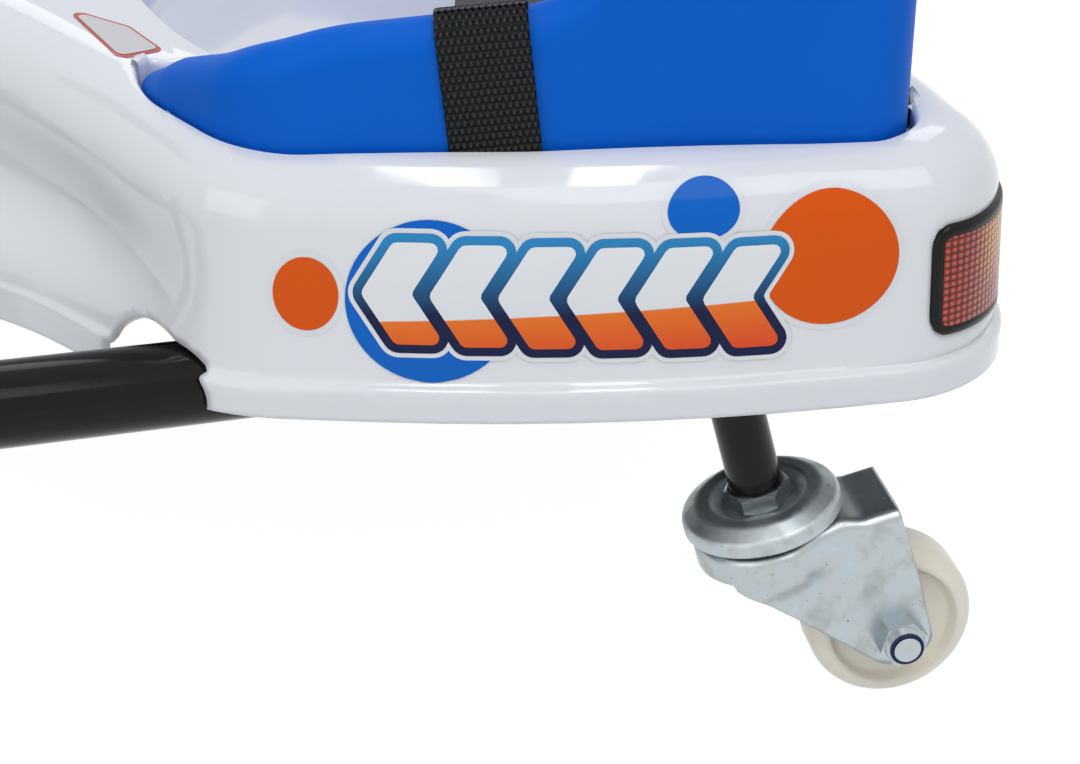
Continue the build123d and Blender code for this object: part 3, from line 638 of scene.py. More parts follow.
# Plan of the tub's lower edge, x and y, from the middle of the tail round the corner to the cowl
OUTLINE = [(-420, 0), (-420, 76), (-448.6, 166), (-322, 190.5), (-207, 182.5), (-150, 128), (-95, 100),
           (-20, 90), (60, 88), (112, 89.5)]
OUTLINE_ROUND = [0, 60, 42, 500, 75, 140, 160, 200, 100, 0]
SHELL_LOW = 108.0
SHOULDER = 22.0
TUB_TOP = 178.0
# Height of the deck and console, x and z
DECK_RISE = [(-460, 178), (-222, 178), (-190, 181.5), (-150, 191), (-95, 204), (-20, 216), (60, 228),
             (120, 235)]
# Plan of the seat opening, x and y, from the middle of the tail to the pan's front
MOUTH = [(-408, 0), (-408, 152), (-300, 161), (-222, 161), (-186, 122), (-186, 103.5), (-216.5, 103.5)]
MOUTH_ROUND = [0, 16, 200, 40, 40, 6, 0]
PAN_CENTRE = -300.0
PAN_R = 133.0
PAN_SIDE = 129.2
PAN_REAR = -363.7
PAN_FLOOR = 150.0
PAN_FOOT = 160.0
PAN_FOOT_R = 10.0
PAN_INSET = 0.4
LEDGE = 167.7
SCOOP = 9.0
CONSOLE_DEEPER = 10.1
BAND_TOP = 119.6
LAMP_SINK = 1.3
LAMP_FRONT_X = -414.5
LAMP_REAR_Y = 99.0
# Round cutters of the tub: a point on the axis, the axis, the radius
ARCH_TIGHT = ((-200, 170, 111), (18, 9, 2.4), 13.4)
ARCH_WIDE = ((-186, 168, 113), (18, 9, 2.4), 15.5)
CROSSING = ((80, 240, 129), (0, -184, -29), 14.0)
# Field value of a place that no opening reaches
CLEAR = 9.0


def deck_height(x):
    """Height of the deck and console along the kart, with its corners drawn smooth."""
    xs = np.linspace(-470, 130, 601)
    table = np.array(DECK_RISE, float)
    z = np.interp(xs, table[:, 0], table[:, 1])
    width = np.hanning(49)
    padded = np.r_[np.full(24, z[0]), z, z[-1] + np.arange(1, 25) * 0.15]
    return np.interp(x, xs, np.convolve(padded, width / width.sum(), "valid"))


def side_rows(step=2.3):
    """Plan path of the lower edge: points, inward directions, run and how far each is on the console."""
    path = bend_path(OUTLINE, OUTLINE_ROUND, step)
    head = headings(path, 3)
    inward = np.column_stack([head[:, 1], -head[:, 0], np.zeros(len(head))])
    inward[0] = (1, 0, 0)
    run = run_along(path)
    corner = int(np.argmin(path[:, 0]))
    console = ease(path[:, 0], -225, -110)
    console[:corner] = 0
    return path, inward, run, console


def run_at(path, run, axis, value, rear):
    """Run where the lower edge crosses a coordinate, on the rear line or on the side."""
    corner = int(np.argmin(path[:, 0]))
    part = slice(0, corner) if rear else slice(corner, None)
    return float(np.interp(value, path[part, axis], run[part]))


def lean_for(depth, rise, lip):
    """Lean of the side that brings the shoulder to a given depth."""
    low, high = 0.0, radians(60)
    for _ in range(40):
        mid = (low + high) / 2
        if lip + (rise - SHOULDER) * tan(mid) + SHOULDER / cos(mid) > depth:
            high = mid
        else:
            low = mid
    return low


WALL_DEPTH = 31.9
CORNER_DEPTH = 26.2
LIP_OUT = 2.0


def wall_depths(path, run):
    """How far the shoulder's inner edge lies inside the lower edge: less at the steep rear corner."""
    s = run - run[int(np.argmin(path[:, 0]))]
    near = ease(s, -80, -34) * (1 - ease(s, 30, 84))
    return WALL_DEPTH + (CORNER_DEPTH - WALL_DEPTH) * near


LAMP_FRAME = 2.4
LAMP_FOOT = 121.5


def lamp_outline(grow=0.0):
    """Closed outline of the tail lamp, as (run, height) on the tub's wall, wrapped round its rear corner."""
    path, _, run, _ = side_rows()
    front = run_at(path, run, 0, LAMP_FRONT_X, False)
    back = run_at(path, run, 1, LAMP_REAR_Y, True)
    pts = [(back - grow, 123.6 - grow), (front + grow, 128.0 - grow), (front + grow, 154.6 + grow),
           (back - grow, 152.6 + grow)]
    middle = ((back + front) / 2, (pts[0][1] + pts[1][1]) / 2)
    loop = bend_path([middle, pts[1], pts[2], pts[3], pts[0], middle], [0] + [3.0 + grow] * 4 + [0], 1.6)
    return loop[:-1, :2]


def on_wall(run_z, out=0.0):
    """Points on the tub's plain wall from (run, height), so far outside it."""
    path, inward, run, _ = side_rows()
    at = np.asarray(run_z, float)
    base = np.column_stack([np.interp(at[:, 0], run, path[:, k]) for k in range(3)])
    n = np.column_stack([np.interp(at[:, 0], run, inward[:, k]) for k in range(3)])
    n /= np.linalg.norm(n, axis=1)[:, None]
    depth = np.interp(at[:, 0], run, wall_depths(path, run))
    slope = np.array([tan(lean_for(d, TUB_TOP - SHELL_LOW, LIP_OUT)) for d in depth])
    inset = LIP_OUT + (at[:, 1] - SHELL_LOW) * slope - out
    return base + n * inset[:, None] + np.column_stack([np.zeros(len(at)), np.zeros(len(at)), at[:, 1]])


def tub_grid():
    """Points over one half of the tub: columns round the kart, rows from the lower edge to the middle."""
    path, inward, run, console = side_rows()
    depth = wall_depths(path, run) + CONSOLE_DEEPER * console
    hollow = SCOOP * ease(path[:, 0], -215, -150) * (1 - ease(path[:, 0], -110, 20)) * (path[:, 1] > 50)
    corner = float(run[int(np.argmin(path[:, 0]))])
    knots = [0, corner, run_at(path, run, 0, -207, False), run_at(path, run, 0, -95, False), run[-1]]
    middle = np.interp(run, knots, [-380, -350, -200, -95, 112])
    frame_field = outline_field(lamp_outline(LAMP_FRAME))
    grid = []
    for p, n, s, w, d, scoop, middle_x in zip(path, inward, run, console, depth, hollow, middle):
        top = float(deck_height(p[0] + n[0] * d))
        lip = LIP_OUT * (1 - w)
        lean = lean_for(d, top - SHELL_LOW, lip)
        column = []
        # The band along the foot, inset and height, with the small step above it
        band = [(0, 108.2), (0, 109.5), (0, 111.5), (0, 114), (0, 116.2), (0.25, 117.3), (0.9, 117.9),
                (2.0, 118.2), (3.1, 118.45)]
        for inset, z in band:
            plain = lip + (z - SHELL_LOW) * tan(lean)
            column.append((inset * (1 - w) + plain * w, z))
        start = top - SHOULDER + SHOULDER * sin(lean)
        rise = np.linspace(BAND_TOP, start, 26)
        sunk = LAMP_SINK * (1 - ease(frame_field(np.column_stack([np.full(26, s), rise, rise])), -0.6, 2.2))
        for z, sink in zip(rise, sunk):
            f = (z - BAND_TOP) / (start - BAND_TOP)
            column.append((lip + (z - SHELL_LOW) * tan(lean) + scoop * sin(pi * f) ** 2 + sink, z))
        for k in range(1, 11):
            turn = lean + (pi / 2 - lean) * k / 10
            column.append((d - SHOULDER * cos(turn), top - SHOULDER + SHOULDER * sin(turn)))
        points = [p + n * inset + np.array([0, 0, z]) for inset, z in column]
        edge = points[-1]
        for k in range(1, 17):
            f = k / 16
            q = edge * (1 - f) + np.array([middle_x, 0, 0]) * f
            q[2] = float(deck_height(q[0]))
            points.append(q)
        grid.append(points)
    return np.array(grid)


def hole_outline():
    """Closed outline, in plan, of the seat opening and the pan's round front edge."""
    half = bend_path(MOUTH, MOUTH_ROUND, 1.0)
    reach = sqrt(PAN_R ** 2 - 103.5 ** 2)
    start = acos(reach / PAN_R)
    arc = [(PAN_CENTRE + PAN_R * cos(a), PAN_R * sin(a), 0.0) for a in np.linspace(start, 0, 120)]
    half = np.vstack([half, arc[1:]])
    other = half[::-1] * np.array([1, -1, 1])
    return np.vstack([half, other[1:-1]])


def build_tub():
    """Gloss white tub with its lip, shoulder, deck, console, seat opening and tube arches."""
    grid = tub_grid()
    cols, rows, _ = grid.shape
    V = grid.transpose(1, 0, 2).reshape(-1, 3)
    F = np.array(quads(rows, cols))
    tight = bar_field(*ARCH_TIGHT)
    wide = bar_field(*ARCH_WIDE)

    def arch_here(P):
        """Arch over the side tube, low on the wall only."""
        f = np.minimum(tight(P), wide(P))
        return np.where((P[:, 1] > 120) & (P[:, 2] < 150), f, np.maximum(f, 1.0))

    V, F, _ = carve(V, F, arch_here)
    crossing = bar_field(*CROSSING)
    V, F, _ = carve(V, F, lambda P: np.where(P[:, 2] < 160, crossing(P), CLEAR))
    hole = outline_field(hole_outline())

    def mouth_here(P):
        """Seat opening, in the deck only."""
        return np.where(P[:, 2] > PAN_FLOOR, hole(P), CLEAR)

    V, F, edge = carve(V, F, mouth_here)
    V, F = skirt(V, F, edge, hole, [(0.7, 0.25), (1.3, 0.9), (1.6, 1.9), (1.6, 6.0), (1.6, 9.5)])
    V, F = both_sides(V, F)
    tub = put("tub_shell", V, F, "shell", "chassis", 50)
    walled(tub, sizes().wall / MM)
    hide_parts("body_shell")
    return tub


def pan_outline(grow=0.0):
    """Closed outline, in plan, of the moulded pan."""
    r = PAN_R + grow
    side = PAN_SIDE + grow
    reach = sqrt(r * r - side * side)
    corners = [(PAN_REAR - grow, 0), (PAN_REAR - grow, side), (PAN_CENTRE + reach, side)]
    half = bend_path(corners, [0, 14, 0], 3.0)
    arc = [(PAN_CENTRE + r * cos(a), r * sin(a), 0.0) for a in np.linspace(acos(reach / r), 0, 60)]
    half = np.vstack([half, arc[1:]])
    other = half[::-1] * np.array([1, -1, 1])
    return np.vstack([half, other[1:-1]])


def build_pan():
    """Moulded seat pan: a smooth bowl with a rounded foot, and the ledge that carries the seat."""
    ring = pan_outline()
    n = len(ring)
    head = np.roll(ring, -1, axis=0) - np.roll(ring, 1, axis=0)
    head /= np.linalg.norm(head, axis=1)[:, None]
    inward = np.column_stack([head[:, 1], -head[:, 0], np.zeros(n)])
    front = (np.abs(ring[:, 1]) < 103.4) & (ring[:, 0] > -240)
    high = np.where(front, deck_height(ring[:, 0]) - 3.0, LEDGE - 0.3)
    rows = []
    for f in (0, 0.12, 0.3, 0.5, 0.7, 0.86, 1.0):
        lift = high + (PAN_FOOT - high) * f
        rows.append(ring + np.column_stack([np.zeros(n), np.zeros(n), lift]) + inward * PAN_INSET)
    for k in range(1, 9):
        turn = pi / 2 * k / 8
        inset = PAN_INSET + PAN_FOOT_R * (1 - cos(turn))
        rows.append(ring + inward * inset + np.array([0, 0, PAN_FOOT - 9.7 * sin(turn)]))
    last = rows[-1]
    middle = np.array([-290.0, 0, PAN_FLOOR + 0.3])
    for f in (0.15, 0.3, 0.5, 0.7, 0.85, 0.97):
        row = last + (middle - last) * f
        rows.append(row)
    V = np.vstack(rows)
    F = quads(len(rows), n, closed=True)
    F = [tuple(reversed(f)) for f in F]
    V = np.vstack([V, [middle]])
    base = (len(rows) - 1) * n
    F += [(base + i, base + (i + 1) % n, len(V) - 1) for i in range(n)]
    pan = put("seat_pan", V, F, "shell", "chassis", 60)
    walled(pan, 1.5, 1.0)
    # Ledge between the pan and the mouth, under the wings
    outer_ring = hole_outline()
    V2, F2 = [], []
    order = [i for i in range(n) if not front[i]]
    for i in order:
        p = ring[i]
        d = outer_ring[:, :2] - p[:2]
        out = -inward[i][:2]
        along = d @ out
        off = np.abs(d[:, 0] * out[1] - d[:, 1] * out[0])
        ok = (along > 0) & (off < 2.5)
        far = along[ok].min() if ok.any() else 8.0
        V2.append((p[0], p[1], LEDGE - 0.2))
        V2.append((p[0] + out[0] * (far + 1.5), p[1] + out[1] * (far + 1.5), LEDGE - 0.2))
    for k in range(len(order)):
        j = (k + 1) % len(order)
        if (order[j] - order[k]) % n > 2:
            continue
        F2.append((2 * k, 2 * k + 1, 2 * j + 1, 2 * j))
    ledge = put("seat_ledge", V2, F2, "shell", "chassis", 60)
    walled(ledge, 1.5)
    return pan


# Nose cowl

# Sections of the cowl: x, half width at the foot, half width at the shoulder, height
COWL = [(113.5, 91, 64, 233), (190, 104, 74, 232), (280, 118, 90, 210), (360, 120, 92, 176),
        (408, 100, 80, 146)]
COWL_ROUND = 20.0
COWL_END = 408.0
NOSE_ROUND = 12.0
# What passes through the cowl: a point on the axis, the axis, the radius; then x, or x and z, of the middle
COLUMN_LEAN = radians(32)
COLUMN_HOLE = ((257.17, 0, 134), (-sin(COLUMN_LEAN), 0, cos(COLUMN_LEAN)), 14.0)
RAIL_HOLE = ((100, 48, 100), (1, 0, 0), 14.0)
BEAM_X = 250.0
TIE_ROD_AT = (213.0, 134.0)


def cowl_column(x, low, high, top):
    """Half section of the cowl at one X, from its lower edge over the shoulder to the middle."""
    foot = np.array([low, SHELL_LOW + 0.2])
    corner = np.array([high, top])
    side = (foot - corner) / np.linalg.norm(foot - corner)
    turn = pi - acos(max(-1.0, min(1.0, float(-side[0]))))
    reach = COWL_ROUND * tan(turn / 2)
    start = corner + side * reach
    end = corner + np.array([-reach, 0])
    centre = np.array([end[0], top - COWL_ROUND])
    first = float(np.arctan2(start[1] - centre[1], start[0] - centre[0]))
    column = [foot + (start - foot) * k / 12 for k in range(13)]
    for k in range(1, 11):
        angle = first + (pi / 2 - first) * k / 10
        column.append(centre + COWL_ROUND * np.array([cos(angle), sin(angle)]))
    column += [np.array([end[0] * (1 - k / 12), top]) for k in range(1, 13)]
    return [(x, y, z) for y, z in column]


def build_cowl():
    """Gloss white nose cowl over the front beam, with a rounded nose and the column opening."""
    table = np.array(COWL, float)
    dense = np.linspace(0, len(table) - 1, 97)
    width = np.hanning(13)
    width /= width.sum()

    def smooth(values):
        """Rounds the corners of the table of sections."""
        padded = np.r_[2 * values[0] - values[6:0:-1], values, 2 * values[-1] - values[-2:-8:-1]]
        return np.convolve(padded, width, "valid")

    xs = np.interp(dense, range(len(table)), table[:, 0])
    low, high, top = (smooth(np.interp(dense, range(len(table)), table[:, i])) for i in (1, 2, 3))
    cols = [cowl_column(*v) for v in zip(xs, low, high, top) if v[0] <= COWL_END - NOSE_ROUND]
    last = np.array(cowl_column(xs[-1], low[-1], high[-1], top[-1]))
    for k in range(1, 9):
        turn = pi / 2 * k / 8
        back = NOSE_ROUND * (1 - cos(turn))
        ring = last.copy()
        ring[:, 0] = COWL_END - NOSE_ROUND + NOSE_ROUND * sin(turn)
        ring[:, 1] *= 1 - back / 100.0
        ring[:, 2] = SHELL_LOW + (ring[:, 2] - SHELL_LOW) * (1 - back / 46.0)
        cols.append([tuple(v) for v in ring])
    end = np.array(cols[-1])
    for f in (0.3, 0.6, 0.9, 1.0):
        cols.append([(x, y * (1 - f), z) for x, y, z in end])
    grid = np.array(cols)
    n_cols, n_rows, _ = grid.shape
    V = grid.transpose(1, 0, 2).reshape(-1, 3)
    F = np.array(quads(n_rows, n_cols))
    column_at = bar_field(*COLUMN_HOLE)
    rail = bar_field(*RAIL_HOLE)

    def open_here(P):
        """Openings for the column, the front beam, the tie rod and the rail: negative inside them."""
        column = np.where(P[:, 2] > 190, column_at(P), CLEAR)
        beam = np.maximum(np.abs(P[:, 0] - BEAM_X) - 14.0, P[:, 2] - 114.0)
        rod = np.maximum(np.abs(P[:, 0] - TIE_ROD_AT[0]) - 14.0, np.abs(P[:, 2] - TIE_ROD_AT[1]) - 11.0)
        rod = np.where(P[:, 1] > 60, rod, CLEAR)
        end_rail = np.where(P[:, 0] > 380, rail(P), CLEAR)
        return np.minimum(np.minimum(column, beam), np.minimum(rod, end_rail))

    V, F, _ = carve(V, F, open_here)
    V, F = both_sides(V, F)
    cowl = put("nose_cowl", V, F, "shell", "chassis", 45)
    walled(cowl, sizes().wall / MM)
    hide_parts("front_cowl")
    return cowl


# Seat

# Crest of the seat seen from the side, x and z, from the wing's nose up to the top of the back
SEAT_EDGE = [(-184, 168), (-187.3, 180.5), (-196, 189.4), (-221, 202.0), (-250, 209.2), (-291, 213.7),
             (-312, 215.8), (-345, 258), (-360, 330), (-368, 430), (-404.5, 430)]
SEAT_EDGE_ROUND = [0, 5, 12, 60, 100, 100, 30, 50, 120, 16, 0]
# Plan of the seat's outer face, x and y, from the middle of the back to the wing's nose
SEAT_PLAN = [(-404.5, 0), (-404.5, 149.5), (-300, 158.5), (-223, 158.5), (-188.5, 121), (-188.5, 106)]
SEAT_PLAN_ROUND = [0, 14, 198, 38, 38, 0]
SEAT_THICK = 27.0
SEAT_LOW = 168.1
SEAT_TAPER = 15.0
BACK_THICKER = 8.0
WING_SLOPE = 0.62


def build_seat():
    """Blue wrap-around backrest: a tall curved back whose sides sweep down into two low wings."""
    outer = bend_path(SEAT_PLAN, SEAT_PLAN_ROUND, 2.2)
    head = headings(outer, 6)
    inward = np.column_stack([head[:, 1], -head[:, 0], np.zeros(len(head))])
    inward[0] = (1, 0, 0)
    run = run_along(outer)
    side = bend_path([(x, 0, z) for x, z in SEAT_EDGE], SEAT_EDGE_ROUND, 0.5)[::-1]
    top = np.interp(outer[:, 0], side[:, 0], side[:, 2])
    limit = sizes().crest / MM
    grid = []
    for p, n, s, z in zip(outer, inward, run, top):
        left = run[-1] - s
        close = sqrt(max(0.0, 1 - max(0.0, 1 - left / SEAT_TAPER) ** 2))
        thick = SEAT_THICK * (0.1 + 0.9 * close) + BACK_THICKER * float(ease(-p[0], 345, 392))
        rise = (z - SEAT_LOW) * (0.5 + 0.5 * close)
        crown = min(limit, thick * 0.48, rise * 0.45)
        column = [(0.0, (rise - crown) * f) for f in np.linspace(0, 1, 18)]
        for k in range(1, 9):
            a = pi / 2 * k / 8
            column.append((crown * (1 - cos(a)), rise - crown + crown * sin(a)))
        # The crest falls towards the sitter, steeply on the wings and hardly at all on the tall back
        inner = crown * 0.5
        slope = WING_SLOPE - 0.5 * float(ease(z, 225, 300))
        drop = min((thick - crown - inner) * slope, (rise - crown) * 0.6)
        for f in np.linspace(0.12, 1.0, 7):
            column.append((crown + (thick - crown - inner) * f, rise - drop * (f * 0.7 + 0.3 * f * f)))
        for k in range(1, 6):
            a = pi / 2 * k / 5
            column.append((thick - inner + inner * sin(a), rise - drop - inner + inner * cos(a)))
        column += [(thick, (rise - drop - inner) * f) for f in np.linspace(0.95, 0, 18)]
        grid.append([p + n * inset + np.array([0, 0, SEAT_LOW + up]) for inset, up in column])
    grid = np.array(grid)
    cols, rows, _ = grid.shape
    V = grid.transpose(1, 0, 2).reshape(-1, 3)
    F = quads(rows, cols)
    # The wing's nose and the underside close across from the outer wall to the inner
    end = [r * cols + cols - 1 for r in range(rows)]
    for k in range(rows // 2):
        a, b, c, d = end[k], end[k + 1], end[rows - 2 - k], end[rows - 1 - k]
        if len({a, b, c, d}) == 4:
            F.append((a, b, c, d))
    for c in range(cols - 1):
        F.append((c + 1, c, (rows - 1) * cols + c, (rows - 1) * cols + c + 1))
    V, F = both_sides(V, F)
    seat = put("seat_back", V, F, "seat", "chassis", 60)
    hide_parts("seat")
    return seat


# Casters

RAKE = radians(14.4)
YAW = radians(10.0)
CUP = (-367.0, 159.0, 66.2)
FORK_OUT = 15.1
FORK_WALL = 2.5
DRUM_R = 22.0
CROWN_Z = -8.3
SKIRT_Z = -16.2
AXLE = (-28.5, -49.3)
LEG_FRONT = 15.2
# Edge of a fork leg, x and z in the caster's own frame
LEG_EDGE = [(-36.9, -11.5), (-37.2, -15), (-38.1, -33.9), (-38.4, -55.5), (-30, -60.5), (-21.6, -58.0),
            (-0.3, -33.2), (LEG_FRONT, -16.4)]
LEG_EDGE_ROUND = [0, 30, 60, 6, 7, 7, 40, 0]


def caster_frame(points):
    """Takes points from the left caster's own frame, Z up its stem and wheel to -X, to the kart's."""
    P = np.asarray(points, float)
    x = P[:, 0] * cos(YAW) - P[:, 1] * sin(YAW)
    y = P[:, 0] * sin(YAW) + P[:, 1] * cos(YAW)
    return np.column_stack([CUP[0] + x * cos(RAKE) + P[:, 2] * sin(RAKE), CUP[1] + y,
                            CUP[2] - x * sin(RAKE) + P[:, 2] * cos(RAKE)])


def fork_skin():
    """Outer skin of the pressed fork: crown, bend, round front skirt and two legs, as one smooth sheet."""
    half = bend_path([(-36.9, FORK_OUT), (-15.5, FORK_OUT), (-3, DRUM_R), (DRUM_R, DRUM_R), (DRUM_R, 0)],
                     [0, 22, 12, DRUM_R, 0], 0.9)[:, :2]
    edge = bend_path([(x, 0, z) for x, z in LEG_EDGE], LEG_EDGE_ROUND, 0.9)[:, [0, 2]]
    edge_run = run_along(edge)
    half_run = run_along(half)
    order = np.argsort(half[:, 0], kind="stable")
    leg_end = float(np.interp(LEG_FRONT, half[:, 0], half_run))
    head = np.gradient(half, axis=0)
    head /= np.linalg.norm(head, axis=1)[:, None]
    inward = np.column_stack([head[:, 1], -head[:, 0]])
    inward[-1] = (-1, 0)
    bend = 3.4
    columns = []
    for q, n, s in zip(half, inward, half_run):
        crown = CROWN_Z + 2.2 * float(ease(q[0], -28, -19))
        column = []
        middle = np.array([q[0] if q[0] < 0 else q[0] * 0.3, 0.0])
        top = q + n * bend
        for f in np.linspace(0, 1, 9)[:-1]:
            column.append((*(middle + (top - middle) * f), crown))
        for k in range(7):
            turn = pi / 2 * k / 6
            column.append((*(q + n * bend * (1 - sin(turn))), crown - bend * (1 - cos(turn))))
        start = np.array([q[0], crown - bend])
        if s < leg_end:
            foot = np.array([np.interp(edge_run[-1] * s / leg_end, edge_run, edge[:, k]) for k in range(2)])
        else:
            foot = np.array([q[0], SKIRT_Z])
        for f in np.linspace(0, 1, 18)[1:]:
            x, z = start + (foot - start) * f
            if s < leg_end:
                wide = float(np.interp(x, half[order, 0], half[order, 1]))
                wide = max(wide, FORK_OUT)
                y = FORK_OUT + (wide - FORK_OUT) * float(ease(z, -27, -14))
                column.append((x, y, z))
            else:
                tuck = 2.0 * max(0.0, (f - 0.72) / 0.28) ** 2
                column.append((q[0] + n[0] * tuck, q[1] + n[1] * tuck, z))
        columns.append(column)
    grid = np.array(columns)
    cols, rows, _ = grid.shape
    V = grid.transpose(1, 0, 2).reshape(-1, 3)
    F = np.array([f[::-1] for f in quads(rows, cols)])
    V, F = both_sides(V, F)
    return V, F


def turned(profile, count=48):
    """Closed ring turned about Z from (radius, height) points."""
    turns = [2 * pi * k / count for k in range(count)]
    V = [(r * cos(a), r * sin(a), z) for a in turns for r, z in profile]
    n = len(profile)
    F = [(k * n + i, k * n + (i + 1) % n, ((k + 1) % count) * n + (i + 1) % n, ((k + 1) % count) * n + i)
         for k in range(count) for i in range(n)]
    return np.array(V), F


def build_casters():
    """Pressed steel forks, and the blue locking ring of each axle."""
    skin, faces = fork_skin()
    ring, ring_faces = turned([(4.1, 0.0), (5.15, 0.0), (5.15, 0.55), (4.8, 0.85), (4.45, 0.85), (4.1, 0.55)])
    # Turned pieces lie on the outer face of the lock nut, their own Z along the axle
    ring = np.column_stack([AXLE[0] + ring[:, 0], 23.1 + ring[:, 2], AXLE[1] + ring[:, 1]])
    for side, tag in ((1, "left"), (-1, "right")):
        V = caster_frame(skin) * np.array([1, side, 1])
        fork = put(f"pressed_fork_{tag}", V, faces, "zinc", f"caster_swivel_{tag}", 40)
        walled(fork, FORK_WALL)
        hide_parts(f"caster_fork_{tag}")
        W = caster_frame(ring) * np.array([1, side, 1])
        put(f"lock_ring_{tag}", W, ring_faces, "lock_ring", f"caster_swivel_{tag}", 40)


HUB_SCREWS = 6
HUB_SCREW_R = 47.0
HUB_FACE = 242.0


def build_hub_screws():
    """Six socket screws on each hub motor's outer cover."""
    profile = [(0.01, 0), (3.9, 0), (3.9, 1.6), (3.4, 2.1), (1.7, 2.1), (1.7, 0.9), (0.01, 0.9)]
    screw, faces = turned(profile, 20)
    for side, tag in ((1, "left"), (-1, "right")):
        V, F = [], []
        for k in range(HUB_SCREWS):
            a = 2 * pi * k / HUB_SCREWS
            x, z = TYRE_AT[0] + HUB_SCREW_R * cos(a), TYRE_AT[2] + HUB_SCREW_R * sin(a)
            # The screw stands on the cover: its own Z is the wheel's outward axis
            part = np.column_stack([x + screw[:, 0], HUB_FACE + screw[:, 2], z + screw[:, 1]])
            F += [tuple(len(V) + i for i in f) for f in faces]
            V += [tuple(v) for v in part]
        W = np.array(V) * np.array([1, side, 1])
        put(f"hub_screws_{tag}", W, F, "screw", f"front_wheel_{tag}", 40)


def build_dash():
    """Green and red push buttons, each in a plated ring, set square on the dash panel."""
    tree = surface_tree(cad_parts["dash_panel"])
    ring, ring_faces = turned([(5.2, -1.5), (7.6, -1.5), (7.6, 0.9), (7.0, 1.5), (5.8, 1.5), (5.2, 0.9)], 36)
    cap, cap_faces = turned([(0.01, -1.0), (5.0, -1.0), (5.0, 1.6), (4.2, 2.3), (2.4, 2.6), (0.01, 2.6)], 36)
    for name, x, y, ink in (("start", 66.0, 20.0, "green"), ("stop", 66.0, -20.0, "red")):
        hit, normal, _, _ = tree.ray_cast(Vector((x, y, RAY_UP)) * MM, Vector((0, 0, -1)))
        turn = np.array(Vector((0, 0, 1)).rotation_difference(normal).to_matrix())
        at = np.array(hit) / MM
        put(f"button_ring_{name}", ring @ turn.T + at, ring_faces, "screw", "chassis", 40)
        put(f"button_{name}", cap @ turn.T + at, cap_faces, ink, "chassis", 40)


# Front tyres

TYRE_AT = (250.0, 225.0, 100.0)
# Half of the tyre's section: radius and half width, from the bead to the crown
TYRE_SECTION = [(66.2, 0), (66.2, 19), (70, 22.4), (80, 23.4), (90, 22.9), (96.5, 20.2), (99.3, 12), (100, 0)]
TREAD_COUNT = 36
TREAD_DEPTH = 2.2
SIDE_LINES = (73.0, 76.0, 86.0)


def tyre_mesh():
    """Tyre turned about Y: bulged sidewalls, a flat centre rib, two grooves and slanted shoulder blocks."""
    half = bend_path([(y, r) for r, y in TYRE_SECTION], [0, 3, 6, 12, 12, 10, 20, 0], 1.15)
    y = np.r_[half[:, 0], -half[-2:0:-1, 0]]
    r = np.r_[half[:, 1], half[-2:0:-1, 1]]
    turns = 432
    angle = np.linspace(0, 2 * pi, turns, endpoint=False)
    A, Y = np.meshgrid(angle, y, indexing="ij")
    R = np.tile(r, (turns, 1))
    groove = 1 - ease(np.abs(np.abs(Y) - 6.5), 0.7, 1.5)
    phase = (A * TREAD_COUNT / (2 * pi) + np.abs(Y) * 0.035 + (Y < 0) * 0.5) % 1.0
    slot = (1 - ease(np.abs(phase - 0.5), 0.08, 0.13)) * ease(np.abs(Y), 7.0, 8.0)
    tread = ease(R, 92.5, 94.5)
    R = R - TREAD_DEPTH * np.maximum(groove, slot) * tread
    # Three raised lines round the sidewall
    for line in SIDE_LINES:
        Y = Y * (1 + 0.012 * (1 - ease(np.abs(R - line), 0.3, 1.1)) * (np.abs(Y) > 15))
    V = np.column_stack([(R * np.cos(A)).ravel(), Y.ravel(), (R * np.sin(A)).ravel()])
    n = len(y)
    F = [(k * n + i, ((k + 1) % turns) * n + i, ((k + 1) % turns) * n + (i + 1) % n, k * n + (i + 1) % n)
         for k in range(turns) for i in range(n)]
    return V, F


def build_tyres():
    """Front tyres with their tread."""
    V, F = tyre_mesh()
    for side, tag in ((1, "left"), (-1, "right")):
        at = np.array(TYRE_AT) * np.array([1, side, 1])
        tyre = put(f"treaded_tyre_{tag}", V * np.array([1, side, 1]) + at, F, "rubber", f"front_wheel_{tag}",
                   40)
        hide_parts(f"front_tyre_{tag}")


# Belt

STRAP_X = -291.0
STRAP_LEAN = radians(5.7)
STRAP_TURN_Z = 178.0
# Middle of the strap, y and z, from the buckle over the wing and down its outside
STRAP_PATH = [(24, 153), (127.8, 153), (127.8, 169.7), (130.1, 169.7), (130.1, 200.5), (150.5, 215.2),
              (159.6, 214.9), (159.6, 169.2)]
STRAP_HALF = 12.5


